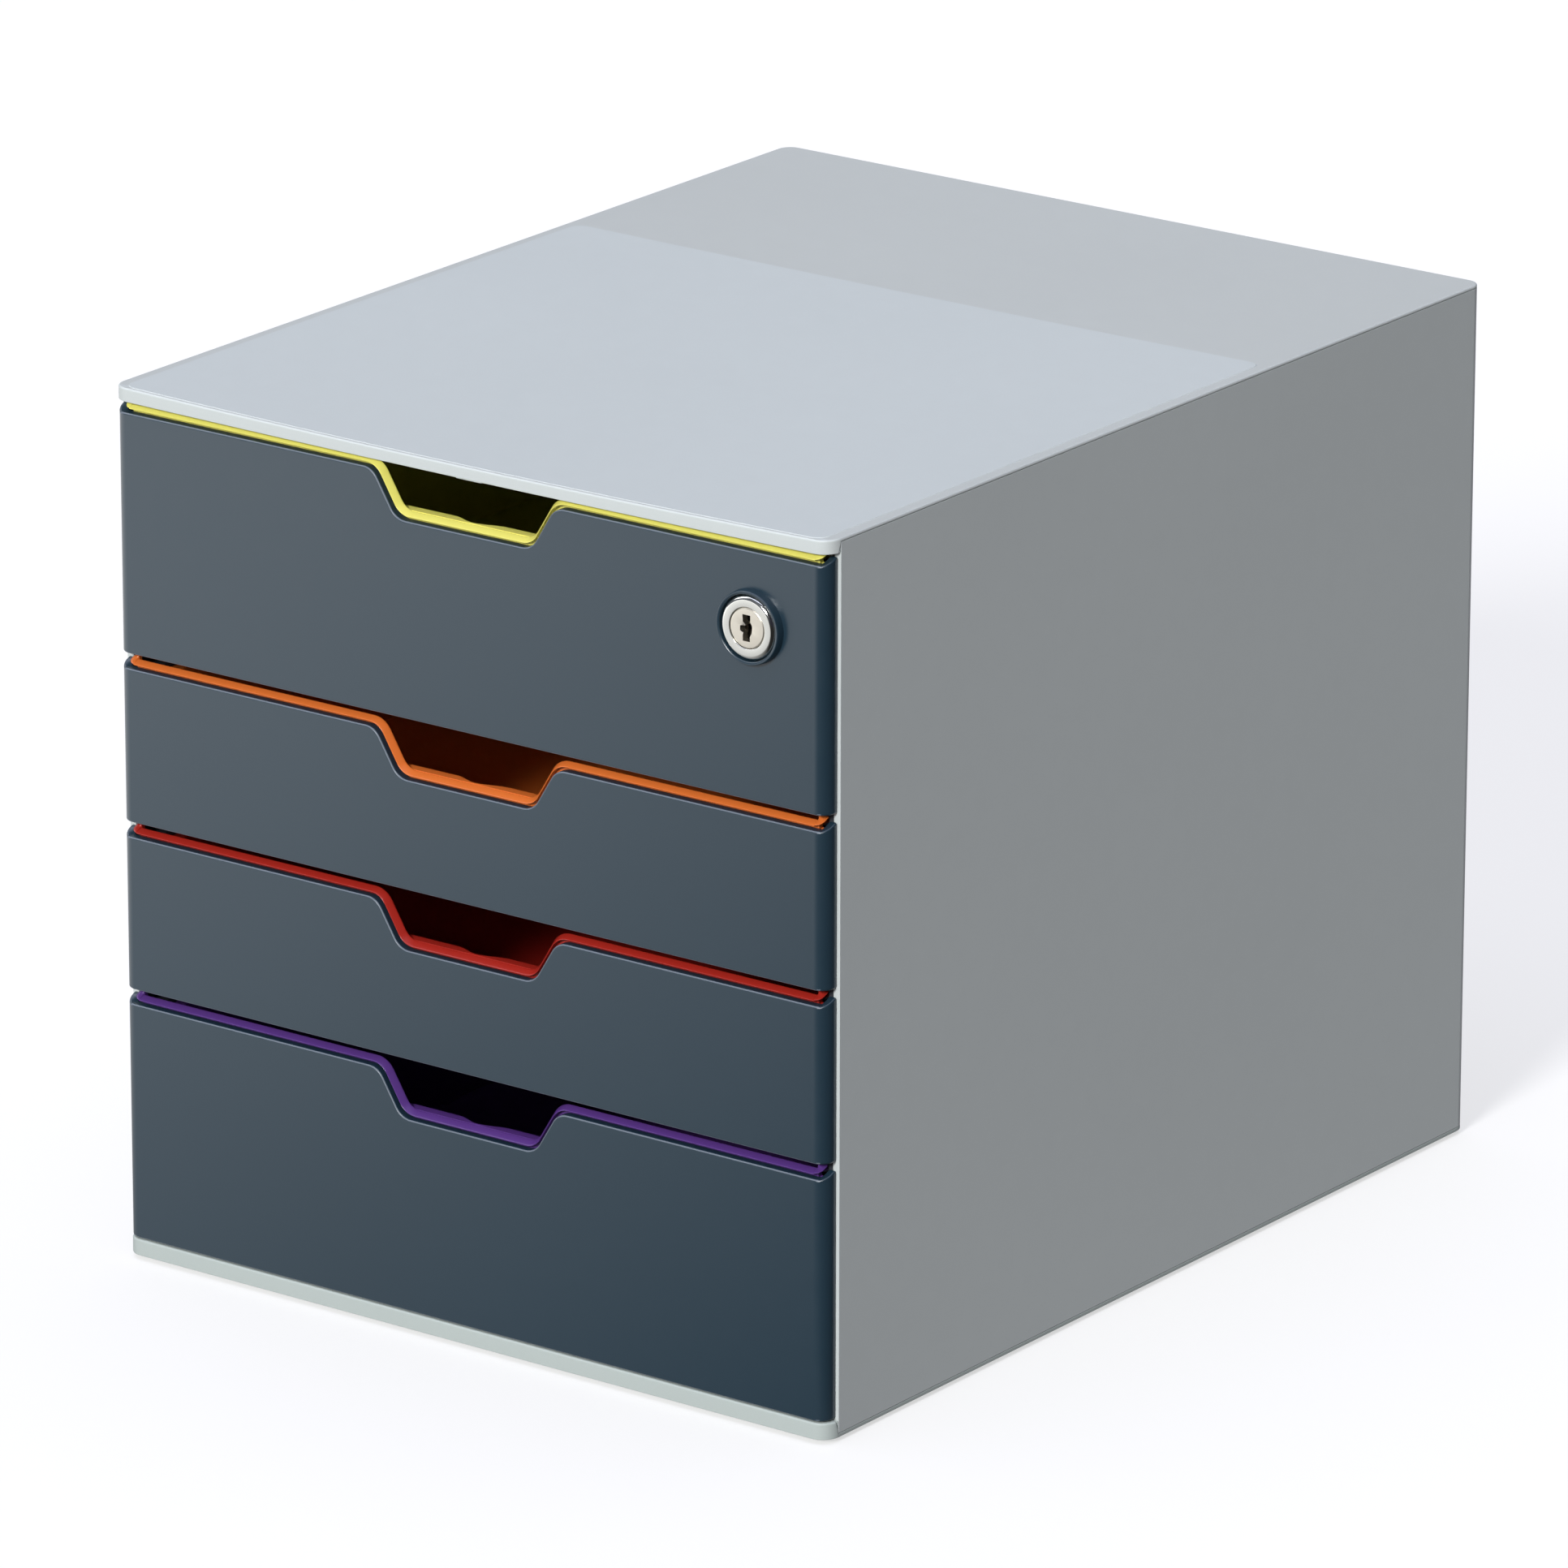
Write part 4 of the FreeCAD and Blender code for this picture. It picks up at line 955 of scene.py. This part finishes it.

# %% [markdown]
# ## Pieces that stay as they are
# The runner frames, screws, nut, wafers, cam and strike are right in shape already. They only need their
# finishes, which go into the material slots that they came with.

# %% Finishes for the other pieces
# The wafers take the brass that is painted dark as shade.
kept = {"runner_frame_left": runner_plastic, "runner_frame_right": runner_plastic, "casing_screws": zinc,
        "lock_strike": zinc, "lock_nut": zinc, "lock_wafers": brass, "lock_cam": zinc, "cam_screw": zinc}
for node, material in kept.items():
    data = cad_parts[node].data
    if data.materials:
        for index in range(len(data.materials)):
            data.materials[index] = material
    else:
        data.materials.append(material)
print("kept:", sorted(kept))

# %% [markdown]
# ## Studio
# The box stands on a plain pale floor in front of nothing. The camera sees the floor as white where it is
# lit and keeps a light shadow. A low lamp in front lights the drawers and throws the shadow far back, a
# wide cool one overhead lights the cover, and a weak even light fills the sides. What metal and satin
# plastic mirror matters as much as the lamps. A studio has one soft box and dark walls, and a floor that
# fades with distance, so glossy rays see a floor that goes from bright on the left to dark on the right
# and a world with one bright patch. That gives the dark fronts their slow gradient and the lock its black
# and white edges.

# %% Floor
floor_mesh = bmesh.new()
bmesh.ops.create_grid(floor_mesh, x_segments=8, y_segments=8, size=12)
floor_data = bpy.data.meshes.new("studio_floor")
floor_mesh.to_mesh(floor_data)
floor_mesh.free()
studio_floor = bpy.data.objects.new("studio_floor", floor_data)
bpy.context.scene.collection.objects.link(studio_floor)

paper = bpy.data.materials.new("pale floor")
paper.use_nodes = True
tree = paper.node_tree
shader = tree.nodes["Principled BSDF"]
rays = tree.nodes.new("ShaderNodeLightPath")
place = tree.nodes.new("ShaderNodeSeparateXYZ")
tree.links.new(tree.nodes.new("ShaderNodeNewGeometry").outputs["Position"], place.inputs["Vector"])


def blended(tree, factor, first, second):
    """A colour between two others, each a fixed one or a socket."""
    node = tree.nodes.new("ShaderNodeMix")
    node.data_type = "RGBA"
    tree.links.new(factor, node.inputs["Factor"])
    for label, colour in (("A", first), ("B", second)):
        if isinstance(colour, tuple):
            node.inputs[label].default_value = (*colour, 1)
        else:
            tree.links.new(colour, node.inputs[label])
    return node.outputs["Result"]


FLOOR_GLOW, FLOOR_PAPER, FLOOR_BOUNCE = (0.575, 0.575, 0.575), (0.455, 0.455, 0.445), (0.27, 0.26, 0.27)
MIDDLE_LIGHT, GAIN_BACK, GAIN_RIGHT, DARKEST, BRIGHTEST = 0.335, 0.153, -1.5, 0.02, 1.22
far = maths(tree, "MULTIPLY_ADD", place.outputs["Y"], GAIN_BACK, MIDDLE_LIGHT)
bright = maths(tree, "MULTIPLY_ADD", place.outputs["X"], GAIN_RIGHT, far)
bright = maths(tree, "MINIMUM", maths(tree, "MAXIMUM", bright, DARKEST), BRIGHTEST)
given_off = blended(tree, rays.outputs["Is Glossy Ray"], FLOOR_BOUNCE, bright)
given_off = blended(tree, rays.outputs["Is Camera Ray"], given_off, FLOOR_GLOW)
tree.links.new(given_off, shader.inputs["Emission Color"])
seen_base = blended(tree, rays.outputs["Is Camera Ray"], (0, 0, 0), FLOOR_PAPER)
tree.links.new(seen_base, shader.inputs["Base Color"])
shader.inputs["Emission Strength"].default_value = 1.0
shader.inputs["Roughness"].default_value = 0.9
shader.inputs["Specular IOR Level"].default_value = 0.0
studio_floor.data.materials.append(paper)
print("floor material nodes:", len(tree.nodes))


# %% Lamps
def sun(name, toward, strength, width, colour=(1, 1, 1)):
    """A far lamp. toward points from the object to the lamp; width softens its shadow."""
    lamp = bpy.data.lights.new(name, "SUN")
    lamp.energy, lamp.angle, lamp.color = strength, math.radians(width), colour
    holder = bpy.data.objects.new(name, lamp)
    holder.rotation_euler = Vector(toward).to_track_quat("Z", "Y").to_euler()
    bpy.context.scene.collection.objects.link(holder)


sun("key_light", (0.14, -0.89, 0.43), 2.74, 14)
sun("top_light", (-0.1, -0.05, 0.99), 1.04, 70, (1.0, 1.03, 1.3))
print("lamps:", [light.name for light in bpy.data.lights])

# %% World
world = bpy.data.worlds.new("studio")
bpy.context.scene.world = world
world.use_nodes = True
tree = world.node_tree
backdrop = tree.nodes["Background"]
rays = tree.nodes.new("ShaderNodeLightPath")
heading = tree.nodes.new("ShaderNodeSeparateXYZ")
bearing = tree.nodes.new("ShaderNodeTexCoord").outputs["Generated"]
tree.links.new(bearing, heading.inputs["Vector"])


def stepped(tree, value, start, end):
    """A soft step from 0 at start to 1 at end."""
    node = tree.nodes.new("ShaderNodeMapRange")
    node.interpolation_type = "SMOOTHSTEP"
    node.inputs["From Min"].default_value, node.inputs["From Max"].default_value = start, end
    tree.links.new(value, node.inputs["Value"])
    return node.outputs["Result"]


SOFT_BOX_TOWARD, SOFT_BOX_EDGE, SOFT_BOX_GLOW = (-0.75, -0.2, 0.63), (0.91, 0.955), (2.4, 2.4, 2.5)
RIGHT_WALL, LEFT_WALL, EVEN_LIGHT = (0.02, 0.02, 0.03), (0.12, 0.13, 0.15), (0.25, 0.25, 0.27)
box_light = tree.nodes.new("ShaderNodeVectorMath")
box_light.operation = "DOT_PRODUCT"
box_light.inputs[1].default_value = SOFT_BOX_TOWARD
tree.links.new(bearing, box_light.inputs[0])
around = blended(tree, stepped(tree, heading.outputs["X"], 0.3, -0.2), RIGHT_WALL, LEFT_WALL)
around = blended(tree, stepped(tree, box_light.outputs["Value"], *SOFT_BOX_EDGE), around, SOFT_BOX_GLOW)
around = blended(tree, rays.outputs["Is Glossy Ray"], EVEN_LIGHT, around)
clear = maths(tree, "MAXIMUM", rays.outputs["Is Camera Ray"], rays.outputs["Is Transmission Ray"])
tree.links.new(blended(tree, clear, around, (1, 1, 1)), backdrop.inputs["Color"])
print("world nodes:", len(tree.nodes))

# %% [markdown]
# ## Camera
# The camera stands far off to the right and a little above, with a long lens, which keeps the box's edges
# nearly parallel. Its place was worked out from the box's corners.

# %% Camera and colour
CAMERA_PLACE = (2.1682, -2.9333, 1.3503)
CAMERA_YAW, CAMERA_DIP, CAMERA_ROLL, CAMERA_LENS = 36.57, 18.345, 0.08, 273.81
eye = bpy.data.cameras.new("studio_camera")
eye.lens, eye.sensor_width = CAMERA_LENS, 36
camera = bpy.data.objects.new("studio_camera", eye)
turn = Matrix.Rotation(math.radians(CAMERA_YAW), 4, "Z") @ Matrix.Rotation(math.radians(90 - CAMERA_DIP), 4, "X")
roll = Matrix.Rotation(math.radians(CAMERA_ROLL), 4, "Z")
camera.matrix_world = Matrix.Translation(CAMERA_PLACE) @ turn @ roll
bpy.context.scene.collection.objects.link(camera)
bpy.context.scene.camera = camera
bpy.context.scene.view_settings.view_transform = "Standard"
print("camera at", CAMERA_PLACE)

# %% Bring the scene up to date
bpy.context.view_layer.update()
